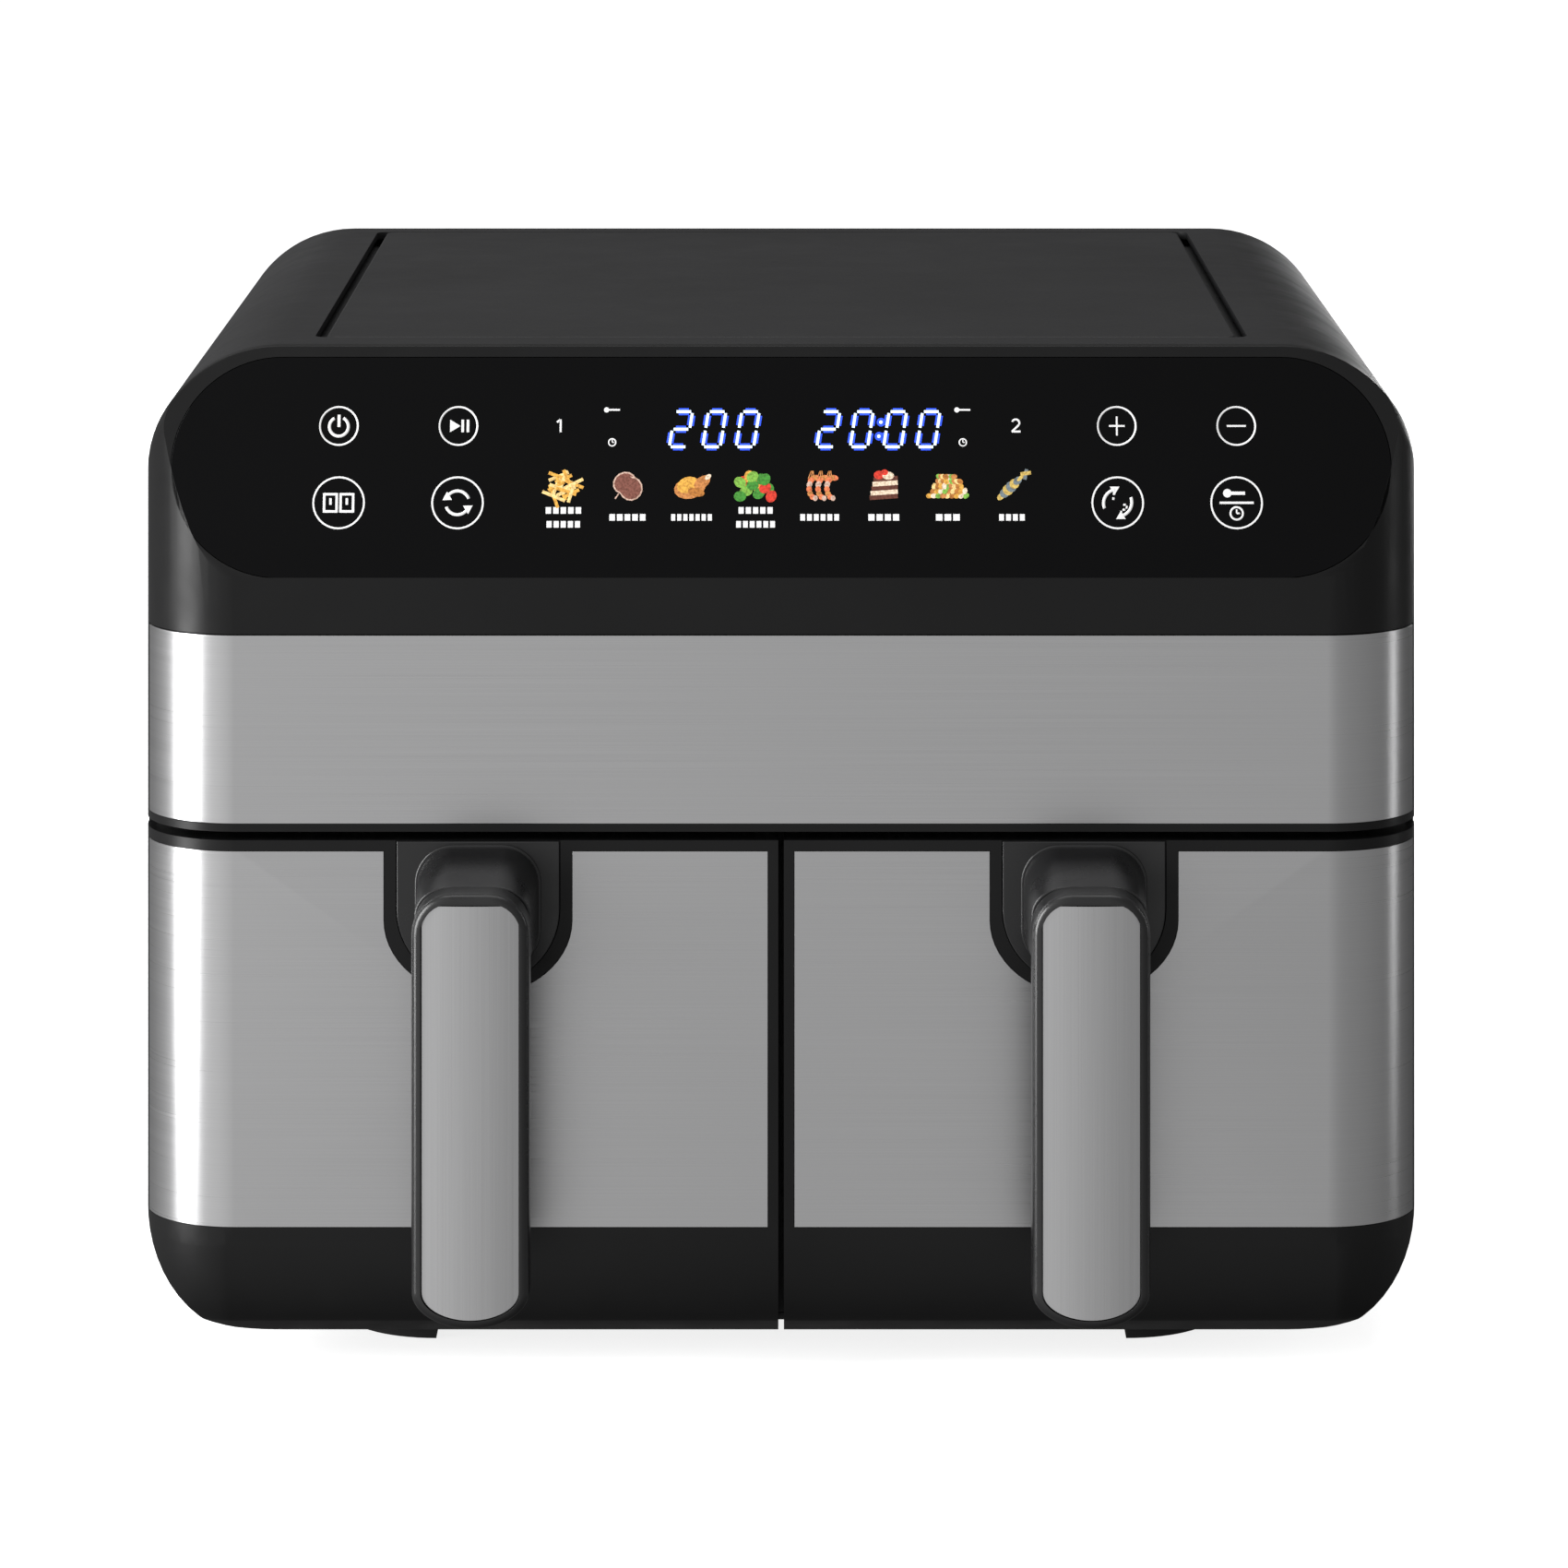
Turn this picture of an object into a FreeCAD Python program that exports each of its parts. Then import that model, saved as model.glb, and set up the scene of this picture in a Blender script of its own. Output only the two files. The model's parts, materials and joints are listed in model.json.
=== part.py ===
import FreeCAD, Part

import math
import os

from FreeCAD import Vector

# Two-drawer air fryer. Millimetres, +X to the right of the front, +Y to the back, +Z up.
# The origin is under the middle of the overall box, on the surface that the feet stand on.

# ---- Overall sizes ----
width = 390.0
body_depth = 352.0            # front plane to rear face
handle_reach = 48.0           # grip front, ahead of the front plane
foot_height = 8.8
drawer_height = 154.3         # drawer front, bottom to top edge
recess_gap = 2.6              # shadow gap above the drawer fronts
trim_height = 2.3             # black strip under the steel band
band_height = 57.3            # steel band
sill_height = 17.5            # upright face between the band and the panel
panel_rise = 64.8             # height of the sloping control panel
lip_height = 3.4              # rounded lip above the panel
panel_tilt = math.radians(14.0)

# ---- Outer shape ----
corner_top = 41.3             # front view corner radii
corner_bottom = 41.5
corner_plan = 29.0            # front upright corners, seen from above
shell_wall = 2.5
rear_cover_wall = 3.0
rear_edge_round = 2.0
hairline = 0.25               # seam between pieces that lie flush
round_flat = 0.05             # flat left between two rounds that nearly meet

# ---- Head ----
band_sheet = 0.8
band_wrap = 21.0              # how far the steel runs round the corner
head_depth = 22.0             # fascia and band frame, front plane to rear edge
head_wall = 2.5
shelf_gap = 4.5               # shelf over the drawers, ahead of the heater dome's flange
glass_thickness = 2.0
glass_half_width = 186.0
board_thickness = 1.6
board_gap = 2.0
board_half_width = 150.0
board_margin = 8.0            # board edge, in from the panel's foot and head
display_half_width = 58.0
display_foot = 37.0           # along the panel's slope, from its foot
display_height = 18.0

# ---- Top panel ----
lid_half_width = 141.0
lid_front = 39.0              # behind the front plane
lid_rear_margin = 14.0        # ahead of the rear face
lid_slot = 3.5                # air slot on each side
lid_thickness = 2.5
lid_ledge = 6.0               # shelf under the panel's edge
lid_corner = 4.0

# ---- Drawer fronts ----
centre_gap = 1.7              # between the two drawer fronts
front_depth = 30.0            # how far a drawer front runs back
front_wall = 3.0
drawer_clearance = 1.0        # drawer front to casing when shut
steel_border_side = 3.05      # black edge beside the steel, next to the centre gap
steel_border_top = 3.2
steel_sheet = 0.8
chin_height = 36.7            # black foot of the drawer front
chin_setback = 8.5
chin_round = 6.0
chin_roll_in = 0.27            # how far in the chin's roll is at half its height, share of the setback
back_plate_wall = 3.0
back_plate_place = 21.0       # behind the front plane
back_plate_clearance = 0.4

# ---- Handles ----
handle_x = 92.0               # from the centre plane
cutout_half_width = 28.5
cutout_straight = 24.3        # straight part, down from the drawer's top
cutout_drop = 23.0            # elliptical part
base_half_width = 24.8
base_straight = 21.1
base_drop = 23.4
base_top_margin = 0.3
neck_width = 37.0
neck_height = 36.0
neck_top = 2.0                # neck top, below the drawer's top edge
neck_corner = 11.0
neck_fall = 5.0               # neck's top at the grip, below its top at the plate
neck_rise = 3.0               # neck's underside at the grip, above that at the plate
neck_taper = 1.2
grip_width = 35.0
grip_length = 128.9
grip_top = 6.4                # grip top, below the drawer's top edge
grip_thickness = 14.0
grip_corner = 12.0
grip_bottom_drop = 11.0
grip_edge_round = 2.5
insert_margin_side = 3.15
insert_margin_top = 3.4
insert_margin_bottom = 3.0
insert_thickness = 0.8
insert_corner = 5.5
screw_radius = 1.5
screw_head_radius = 3.0
screw_head = 2.0
handle_screw_pitch = 14.0
handle_screw_length = 14.0

# ---- Bays, tubs and plates ----
liner_half_gap = 6.0          # liner side, from the centre plane
liner_side_gap = 8.5          # liner to the inside of the casing
liner_lift = 9.2              # liner floor above the bottom of the casing
liner_rear_space = 82.0       # room behind the liners for the mains board
liner_wall = 0.8
liner_case_gap = 1.0          # least gap between liner and casing at the lower corner
divider_wall = 4.0
tub_side_gap = 6.0            # tub wall to liner, each side
tub_rear_gap = 13.0
tub_floor_gap = 6.0
tub_height = 126.0
tub_wall = 1.2
tub_corner = 22.0
tub_bottom_round = 8.0
tub_rim = 3.6
tub_rim_thickness = 1.6
rail_height = 3.0
rail_clearance = 0.3
plate_lift = 8.0
plate_thickness = 1.5
plate_margin = 2.5
plate_slot_width = 6.0
plate_slot_length = 16.0
plate_slot_pitch_x = 15.0
plate_slot_pitch_y = 26.0
bumper_length = 14.0
bumper_width = 6.0
bumper_height = 7.0
bumper_drop = 2.0             # below the plate
bumper_clearance = 0.3
bumper_inset = 51.0           # bumper centre, in from the tub's ends
plate_leg_radius = 4.0
plate_leg_inset = 30.0

# ---- Heating and air ----
dome_radius = 82.0
dome_flange = 5.0
dome_height = 42.0
dome_wall = 1.0
air_hole_margin = 10.0        # air hole edge, in from the dome's wall
guard_thickness = 1.2
guard_overlap = 5.0
guard_ring_wall = 2.0
guard_ring_pitch = 16.0
guard_rings = 3
coil_height = 9.0             # coil centre above the liner's top
coil_tube = 3.2
coil_outer_margin = 22.0      # coil rings, in from the dome's wall
coil_inner_margin = 38.0
coil_lead_x = 12.0            # leads, each side of the bay's centre
coil_lead_rise = 8.0          # leads above the dome
hot_fan_margin = 26.0         # blade tips, in from the dome's wall
hot_fan_height = 14.0
hot_fan_top_gap = 8.0
cool_fan_radius = 46.0
cool_fan_height = 10.0
cool_fan_gap = 8.0
blade_wall = 1.2
hub_radius = 8.0
shaft_radius = 3.0
shaft_running_clearance = 0.05
shaft_hole_radius = 5.0
motor_radius = 30.0
motor_height = 34.0
motor_leg_height = 6.0
motor_leg_radius = 4.0
motor_leg_inset = 1.5         # leg, in from the motor's side
motor_hub_height = 4.0
duct_width = 70.0
duct_height = 28.0
duct_wall = 1.5
duct_lift = 8.0
duct_clearance = 1.5
probe_radius = 2.0
probe_offset = 45.0           # beside the exhaust duct, from the bay's centre
probe_length = 20.0
probe_below = 7.0
sensor_size = (24.0, 8.0, 12.0)

# ---- Rear, board and feet ----
grille_slot_width = 4.0
grille_pitch = 10.0
cord_x = 150.0
cord_z = 60.0
cord_bore_radius = 3.75
grommet_radius = 9.0
grommet_flange = 12.0
grommet_length = 8.0
grommet_boss_wall = 4.0
case_screw_length = 10.0
case_boss_radius = 4.5
case_boss_length = 12.0
case_screw_heights = (81.2, 221.2)   # above the bottom of the casing
case_screw_floor_x = 100.0
power_board_size = (120.0, 1.6, 90.0)
power_board_lift = 33.2
power_board_standoff = 22.0
power_board_post = 3.0
power_board_post_inset = 8.0
relay_size = (18.0, 15.0, 14.0)
relay_places = (-44.0, -20.0, 4.0)   # across the board
relay_lift = 15.0
transformer_size = (32.0, 26.0, 32.0)
transformer_place = (20.0, 8.0)      # lower corner on the board
capacitor_radius = 9.0
capacitor_length = 22.0
capacitor_place = (-30.0, 62.0)      # centre on the board
foot_radius = 34.0
foot_taper = 3.0
foot_flange = 4.0
foot_x = 107.0                # flat side of the foot, from the centre plane
front_foot_place = 72.0       # foot centre behind the front plane
rear_foot_place = 72.0        # foot centre ahead of the rear face

# ---- Places worked out from the sizes ----
half_width = width / 2
front_y = handle_reach - (body_depth + handle_reach) / 2
rear_y = front_y + body_depth
base_z = foot_height
drawer_top = base_z + drawer_height
trim_z = drawer_top + recess_gap
band_z = trim_z + trim_height
fascia_z = band_z + band_height
panel_z = fascia_z + sill_height
top_z = panel_z + panel_rise + lip_height
head_y = front_y + head_depth
case_y = front_y + front_depth + drawer_clearance
shell_rear = rear_y - rear_cover_wall
split_z = base_z + corner_bottom

liner_x0 = liner_half_gap
liner_x1 = half_width - shell_wall - liner_side_gap
liner_y0 = case_y
liner_y1 = rear_y - liner_rear_space
liner_z0 = base_z + liner_lift
liner_z1 = trim_z
bay_x = (liner_x0 + liner_x1) / 2

plate_back_y = front_y + back_plate_place
tub_y0 = plate_back_y + back_plate_wall
tub_y1 = liner_y1 - tub_rear_gap
tub_x0 = liner_x0 + tub_side_gap
tub_x1 = liner_x1 - tub_side_gap
tub_z0 = liner_z0 + tub_floor_gap
tub_z1 = tub_z0 + tub_height
bay_y = (tub_y0 + tub_y1) / 2

dome_top = liner_z1 + dome_height
shelf_y1 = bay_y - dome_radius - dome_flange - shelf_gap
air_hole_radius = dome_radius - air_hole_margin
coil_outer = dome_radius - coil_outer_margin
coil_inner = dome_radius - coil_inner_margin
hot_fan_radius = dome_radius - hot_fan_margin
motor_z0 = dome_top + motor_leg_height
motor_z1 = motor_z0 + motor_height
hot_fan_z0 = dome_top - hot_fan_top_gap - hot_fan_height
cool_fan_z0 = motor_z1 + cool_fan_gap
grip_back_y = front_y - handle_reach + grip_thickness


# ---- Shape helpers ----
def front_view(y):
    """Places (across, up) in an upright plane at depth y."""
    return lambda u, v: Vector(u, y, v)


def plan_view(z):
    """Places (across, back) in a level plane at height z."""
    return lambda u, v: Vector(u, v, z)


def side_view(x):
    """Places (back, up) in an upright plane across the width."""
    return lambda u, v: Vector(x, u, v)


def panel_view(depth):
    """Places (across, up the slope) in the control panel's plane, moved in by depth."""
    inward = Vector(0, math.cos(panel_tilt), -math.sin(panel_tilt))
    up = Vector(0, math.sin(panel_tilt), math.cos(panel_tilt))
    foot = Vector(0, front_y, panel_z) + inward * depth
    return lambda u, v: foot + Vector(u, 0, 0) + up * v


def rounded_wire(corners, place):
    """Closed wire through (u, v, radius) corners, each rounded by its own radius."""
    count = len(corners)
    starts, mids, ends = [], [], []
    for i, (u, v, radius) in enumerate(corners):
        here = Vector(u, v, 0)
        back = Vector(*corners[i - 1][:2], 0) - here
        ahead = Vector(*corners[(i + 1) % count][:2], 0) - here
        back.normalize()
        ahead.normalize()
        if radius <= 0:
            starts.append(here)
            mids.append(None)
            ends.append(here)
            continue
        half = back.getAngle(ahead) / 2
        middle = back + ahead
        middle.normalize()
        starts.append(here + back * (radius / math.tan(half)))
        ends.append(here + ahead * (radius / math.tan(half)))
        mids.append(here + middle * (radius / math.sin(half) - radius))
    edges = []
    for i in range(count):
        if mids[i] is not None:
            points = [place(p.x, p.y) for p in (starts[i], mids[i], ends[i])]
            edges.append(Part.Arc(*points).toShape())
        start = ends[i]
        end = starts[(i + 1) % count]
        if start.distanceToPoint(end) > 1e-6:
            edges.append(Part.LineSegment(place(start.x, start.y), place(end.x, end.y)).toShape())
    return Part.Wire(edges)


def prism(corners, place, travel):
    """Solid made by pushing a rounded outline along travel."""
    return Part.Face(rounded_wire(corners, place)).extrude(travel)


def block(x0, x1, y0, y1, z0, z1):
    """Box between two corners."""
    return Part.makeBox(x1 - x0, y1 - y0, z1 - z0, Vector(x0, y0, z0))


def post(x, y, z0, z1, radius):
    """Upright cylinder."""
    return Part.makeCylinder(radius, z1 - z0, Vector(x, y, z0))


def rod(x, z, y0, y1, radius):
    """Cylinder along the depth."""
    return Part.makeCylinder(radius, y1 - y0, Vector(x, y0, z), Vector(0, 1, 0))


def tray_outline(x0, x1, y0, y1, radius):
    """Rounded rectangle in plan."""
    return [(x0, y0, radius), (x1, y0, radius), (x1, y1, radius), (x0, y1, radius)]


def level_edges(solid, z):
    """Edges of a solid that lie flat at height z."""
    return [edge for edge in solid.Edges if abs(edge.BoundBox.ZMin - z) + abs(edge.BoundBox.ZMax - z) < 1e-3]


def u_outline(centre, half, top, straight, drop, place, travel):
    """Solid with a flat top, straight sides and a half-elliptical bottom."""
    low = top - straight
    middle = place(centre, low)
    side = place(centre + half, low)
    under = place(centre, low - drop)
    if half >= drop:
        arc = Part.ArcOfEllipse(Part.Ellipse(side, under, middle), 0, math.pi)
    else:
        arc = Part.ArcOfEllipse(Part.Ellipse(under, side, middle), -math.pi / 2, math.pi / 2)
    left_top = place(centre - half, top)
    left_low = place(centre - half, low)
    right_top = place(centre + half, top)
    edges = [arc.toShape(), Part.LineSegment(left_low, left_top).toShape(),
             Part.LineSegment(left_top, right_top).toShape(), Part.LineSegment(right_top, side).toShape()]
    return Part.Face(Part.Wire(Part.__sortEdges__(edges))).extrude(travel)


def casing_form(inset):
    """The whole outer shape, moved in by inset: front view outline crossed with the plan outline."""
    side = half_width - inset
    low = base_z + inset
    high = top_z - inset
    front = front_y + inset
    outline = [(-side, low, corner_bottom - inset), (side, low, corner_bottom - inset),
               (side, high, corner_top - inset), (-side, high, corner_top - inset)]
    plan = [(-side, front, corner_plan - inset), (side, front, corner_plan - inset),
            (side, rear_y, 0), (-side, rear_y, 0)]
    length = rear_y - front
    solid = prism(outline, front_view(front), Vector(0, length, 0))
    return solid.common(prism(plan, plan_view(0), Vector(0, 0, top_z)))


def ahead_of_panel(depth):
    """Everything in front of the sloping panel's plane, moved in by depth."""
    place = panel_view(depth)
    foot = place(-width, -body_depth)
    head = place(-width, body_depth)
    reach = Vector(0, 2 * body_depth, 0)
    wire = Part.makePolygon([foot, head, head - reach, foot - reach, foot])
    return Part.Face(wire).extrude(Vector(2 * width, 0, 0))


def chin_form(inset):
    """Side outline of a drawer front: upright face, then a chin that rolls in to the bottom."""
    front = front_y + inset
    low = base_z + inset
    bend = base_z + chin_height
    bottom = Vector(0, front + chin_setback, low + chin_round)
    face_end = Vector(0, front, bend)
    roll_mid = Vector(0, front + chin_setback * chin_roll_in, (bend + low + chin_round) / 2)
    under = Vector(0, front + chin_setback + chin_round, low)
    shift = chin_round * (1 - math.cos(math.pi / 4))
    under_mid = Vector(0, bottom.y + shift, low + shift)
    rear = front_y + body_depth
    corners = [Vector(0, front, drawer_top - inset), Vector(0, rear, drawer_top - inset), Vector(0, rear, low)]
    edges = [Part.LineSegment(corners[0], corners[1]).toShape(), Part.LineSegment(corners[1], corners[2]).toShape(),
             Part.LineSegment(corners[2], under).toShape(), Part.Arc(under, under_mid, bottom).toShape(),
             Part.Arc(bottom, roll_mid, face_end).toShape(), Part.LineSegment(face_end, corners[0]).toShape()]
    face = Part.Face(Part.Wire(edges))
    face.translate(Vector(-width, 0, 0))
    return face.extrude(Vector(2 * width, 0, 0))


def save(name, shape):
    """Writes one node, as its own solids."""
    solids = shape.Solids
    result = solids[0] if len(solids) == 1 else Part.makeCompound(solids)
    result.exportStep("parts/" + name + ".step")


def save_pair(name, shape):
    """Writes a right-hand piece and its mirror image on the left."""
    save("right_" + name, shape)
    save("left_" + name, shape.mirror(Vector(0, 0, 0), Vector(1, 0, 0)))


# ---- Casing ----
def screw(x, z, face_y, length):
    """Pan head screw driven forwards from face_y, its head just inside that face."""
    head = rod(x, z, face_y - screw_head, face_y, screw_head_radius)
    return head.fuse(rod(x, z, face_y - length, face_y - screw_head, screw_radius))


def case_screw_places():
    """Screw places on the rear cover, as (x, z)."""
    side = half_width - shell_wall - case_boss_radius + 0.5
    places = [(sign * side, base_z + height) for sign in (-1, 1) for height in case_screw_heights]
    floor = base_z + shell_wall + case_boss_radius - 0.5
    return places + [(sign * case_screw_floor_x, floor) for sign in (-1, 1)]


def case_screws():
    """All screws that hold the rear cover."""
    return Part.makeCompound([screw(x, z, rear_y, case_screw_length) for x, z in case_screw_places()])


def case_bosses():
    """Pillars inside the casing that the rear screws bite into."""
    return [rod(x, z, shell_rear - case_boss_length, shell_rear, case_boss_radius) for x, z in case_screw_places()]


def lid_place():
    """Front and rear edge of the top panel."""
    return front_y + lid_front, rear_y - lid_rear_margin


def case_shells(outer, screws):
    """Outer housing, over the top and sides, and base tray, below the split line."""
    ring = outer.cut(casing_form(shell_wall))
    ring = ring.common(block(-width, width, head_y, shell_rear, base_z, top_z))
    ring = ring.cut(block(-width, width, head_y, case_y, 0, trim_z))
    lid_y0, lid_y1 = lid_place()
    opening = tray_outline(-lid_half_width - lid_slot, lid_half_width + lid_slot,
                           lid_y0 - hairline, lid_y1 + hairline, lid_corner)
    ring = ring.cut(prism(opening, plan_view(top_z - 2 * shell_wall), Vector(0, 0, 3 * shell_wall)))
    ledge_z = top_z - lid_thickness - shell_wall
    ledge = block(-lid_half_width - lid_slot - lid_ledge, lid_half_width + lid_slot + lid_ledge,
                  lid_y0 - lid_ledge, lid_y1 + lid_ledge, ledge_z, top_z - lid_thickness)
    ledge = ledge.cut(block(-lid_half_width + lid_ledge, lid_half_width - lid_ledge,
                            lid_y0 + lid_ledge, lid_y1 - lid_ledge, ledge_z - 1, top_z))
    air_slot_y0, air_slot_y1 = lid_y0 + lid_ledge, lid_y1 - lid_ledge
    for sign in (-1, 1):
        middle = sign * (lid_half_width + lid_slot / 2)
        ledge = ledge.cut(block(middle - lid_slot / 2, middle + lid_slot / 2,
                                air_slot_y0, air_slot_y1, ledge_z - 1, top_z))
    housing = ring.common(block(-width, width, head_y, shell_rear, split_z, top_z)).fuse(ledge)
    tray = ring.common(block(-width, width, head_y, shell_rear, base_z, split_z))
    for boss in case_bosses():
        boss = boss.common(outer)
        if boss.BoundBox.ZMax > split_z:
            housing = housing.fuse(boss)
        else:
            tray = tray.fuse(boss)
    return housing.cut(screws), tray.cut(screws)


def rear_cover(outer, screws):
    """Rear cover with the exhaust grilles and the boss round the cord inlet."""
    cover = outer.common(block(-width, width, shell_rear, rear_y, 0, top_z))
    edges = [edge for edge in cover.Edges if edge.BoundBox.YMin > rear_y - 1e-3]
    cover = cover.makeFillet(rear_edge_round, edges)
    cover = cover.fuse(rod(cord_x, cord_z, rear_y - grommet_length, shell_rear, grommet_radius + grommet_boss_wall))
    cover = cover.cut(rod(cord_x, cord_z, rear_y - grommet_length - 1, rear_y, grommet_radius))
    cover = cover.cut(rod(cord_x, cord_z, shell_rear, rear_y + 1, grommet_flange))
    inside_width = duct_width - 2 * duct_wall
    slots = int((inside_width - grille_slot_width) / grille_pitch) + 1
    slot_z0 = liner_z1 + duct_lift + duct_wall
    slot_z1 = slot_z0 + duct_height - 2 * duct_wall
    for sign in (-1, 1):
        for i in range(slots):
            x = sign * bay_x + (i - (slots - 1) / 2) * grille_pitch
            half = grille_slot_width / 2
            outline = [(x - half, slot_z0, half - round_flat), (x + half, slot_z0, half - round_flat),
                       (x + half, slot_z1, half - round_flat), (x - half, slot_z1, half - round_flat)]
            cover = cover.cut(prism(outline, front_view(shell_rear - 1), Vector(0, rear_cover_wall + 2, 0)))
    return cover.cut(screws)


def cord_grommet():
    """Bushing that the mains lead passes through."""
    body = rod(cord_x, cord_z, rear_y - grommet_length, shell_rear, grommet_radius)
    body = body.fuse(rod(cord_x, cord_z, shell_rear, rear_y, grommet_flange))
    return body.cut(rod(cord_x, cord_z, rear_y - grommet_length - 1, rear_y + 1, cord_bore_radius))


def top_panel():
    """Flush plate in the middle of the top."""
    lid_y0, lid_y1 = lid_place()
    outline = tray_outline(-lid_half_width, lid_half_width, lid_y0 + hairline, lid_y1 - hairline, lid_corner)
    return prism(outline, plan_view(top_z - lid_thickness), Vector(0, 0, lid_thickness))


def feet(centre_y):
    """Pair of half-round feet, flat side towards the middle, stepped at the flange."""
    pair = []
    for sign in (-1, 1):
        x = sign * foot_x
        keep = block(x, x + width, centre_y - width, centre_y + width, 0, base_z)
        if sign < 0:
            keep = block(x - width, x, centre_y - width, centre_y + width, 0, base_z)
        flange = post(x, centre_y, base_z - foot_flange, base_z, foot_radius)
        foot = flange.fuse(post(x, centre_y, 0, base_z - foot_flange, foot_radius - foot_taper))
        pair.append(foot.common(keep))
    return Part.makeCompound(pair)


def centre_divider():
    """Upright wall between the two bays."""
    half = divider_wall / 2
    low = base_z + shell_wall
    return block(-half, half, case_y, liner_y1, low, trim_z)


# ---- Head ----
def steel_band(outer):
    """Brushed sheet round the front of the head."""
    sheet = outer.cut(casing_form(band_sheet))
    return sheet.common(block(-width, width, front_y, front_y + band_wrap, band_z, fascia_z))


def band_frame(outer):
    """Black carrier behind the band, with the strip under it and the shelf over the drawers."""
    inner = casing_form(head_wall + band_sheet)
    carrier = casing_form(band_sheet).cut(inner)
    frame = carrier.common(block(-width, width, front_y, head_y, trim_z, fascia_z))
    shell = outer.cut(inner)
    frame = frame.fuse(shell.common(block(-width, width, front_y, head_y, trim_z, band_z)))
    frame = frame.fuse(shell.common(block(-width, width, front_y + band_wrap, head_y, trim_z, fascia_z)))
    shelf = casing_form(shell_wall).common(block(-width, width, front_y, shelf_y1, trim_z, band_z))
    shelf = shelf.cut(block(-width, width, liner_y0, rear_y, 0, trim_z + liner_wall))
    return frame.fuse(shelf)


def front_fascia(outer, glass_pocket):
    """Black head moulding with the sloping panel seat and the lip above it."""
    limits = block(-width, width, front_y, head_y, fascia_z, top_z)
    solid = outer.common(limits).cut(ahead_of_panel(0))
    hollow = casing_form(head_wall).cut(ahead_of_panel(glass_thickness + head_wall))
    hollow = hollow.common(block(-width, width, front_y, head_y + 1, fascia_z - 1, top_z))
    solid = solid.cut(hollow).cut(glass_pocket)
    window = prism(display_corners(hairline), panel_view(0), panel_inward(glass_thickness + 2 * head_wall))
    return solid.cut(window)


def panel_inward(distance):
    """Travel into the panel, square to it."""
    return Vector(0, math.cos(panel_tilt), -math.sin(panel_tilt)) * distance


def glass_blank(grow):
    """Stadium-shaped sheet lying in the panel's plane, as thick as the glass."""
    high = panel_rise / math.cos(panel_tilt) + grow
    radius = (high + grow) / 2 - round_flat
    side = glass_half_width + grow
    outline = [(-side, -grow, radius), (side, -grow, radius), (side, high, radius), (-side, high, radius)]
    return prism(outline, panel_view(0), panel_inward(glass_thickness))


def display_corners(grow):
    """Outline of the display window on the panel."""
    side = display_half_width + grow
    low = display_foot - grow
    high = display_foot + display_height + grow
    return [(-side, low, 0), (side, low, 0), (side, high, 0), (-side, high, 0)]


def display_module():
    """Lit display block behind the glass, down to the control board."""
    depth = head_wall + board_gap
    return prism(display_corners(0), panel_view(glass_thickness), panel_inward(depth))


def control_board():
    """Touch and display board, parallel to the panel."""
    high = panel_rise / math.cos(panel_tilt) - board_margin
    outline = [(-board_half_width, board_margin, 2), (board_half_width, board_margin, 2),
               (board_half_width, high, 2), (-board_half_width, high, 2)]
    depth = glass_thickness + head_wall + board_gap
    return prism(outline, panel_view(depth), panel_inward(board_thickness))


def power_board():
    """Mains board with its relays, capacitor and transformer, behind the bays."""
    wide, thick, high = power_board_size
    y = shell_rear - power_board_standoff
    low = base_z + power_board_lift
    board = block(-wide / 2, wide / 2, y, y + thick, low, low + high)
    for x in relay_places:
        board = board.fuse(block(x - relay_size[0] / 2, x + relay_size[0] / 2, y - relay_size[1], y,
                                 low + relay_lift, low + relay_lift + relay_size[2]))
    x, z = transformer_place
    board = board.fuse(block(x, x + transformer_size[0], y - transformer_size[1], y,
                             low + z, low + z + transformer_size[2]))
    x, z = capacitor_place
    board = board.fuse(rod(x, low + z, y - capacitor_length, y, capacitor_radius))
    inset = power_board_post_inset
    for x in (inset - wide / 2, wide / 2 - inset):
        for z in (inset, high - inset):
            board = board.fuse(rod(x, low + z, y + thick, shell_rear, power_board_post))
    return board


# ---- Bay: everything fixed round one drawer, built on the right ----
def heating_element():
    """Two-ring tubular heater with a link and two leads up through the dome."""
    z = liner_z1 + coil_height
    centre = Vector(bay_x, bay_y, z)
    coil = Part.makeTorus(coil_outer, coil_tube, centre).fuse(Part.makeTorus(coil_inner, coil_tube, centre))
    link = rod(bay_x, z, bay_y - coil_outer, bay_y - coil_inner, coil_tube)
    coil = coil.fuse(link)
    for x in (bay_x - coil_lead_x, bay_x + coil_lead_x):
        coil = coil.fuse(post(x, bay_y + coil_outer, z, dome_top + coil_lead_rise, coil_tube))
    return coil


def heater_dome(element, duct_mouth):
    """Pan over the heater and fan, with a flange on the liner."""
    dome = post(bay_x, bay_y, liner_z1, dome_top, dome_radius)
    dome = dome.cut(post(bay_x, bay_y, liner_z1, dome_top - dome_wall, dome_radius - dome_wall))
    flange = post(bay_x, bay_y, liner_z1, liner_z1 + dome_wall, dome_radius + dome_flange)
    flange = flange.cut(post(bay_x, bay_y, liner_z1, liner_z1 + dome_wall, dome_radius - dome_wall))
    dome = dome.fuse(flange).cut(post(bay_x, bay_y, liner_z1, dome_top + 1, shaft_hole_radius))
    return dome.cut(element).cut(duct_mouth)


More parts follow.
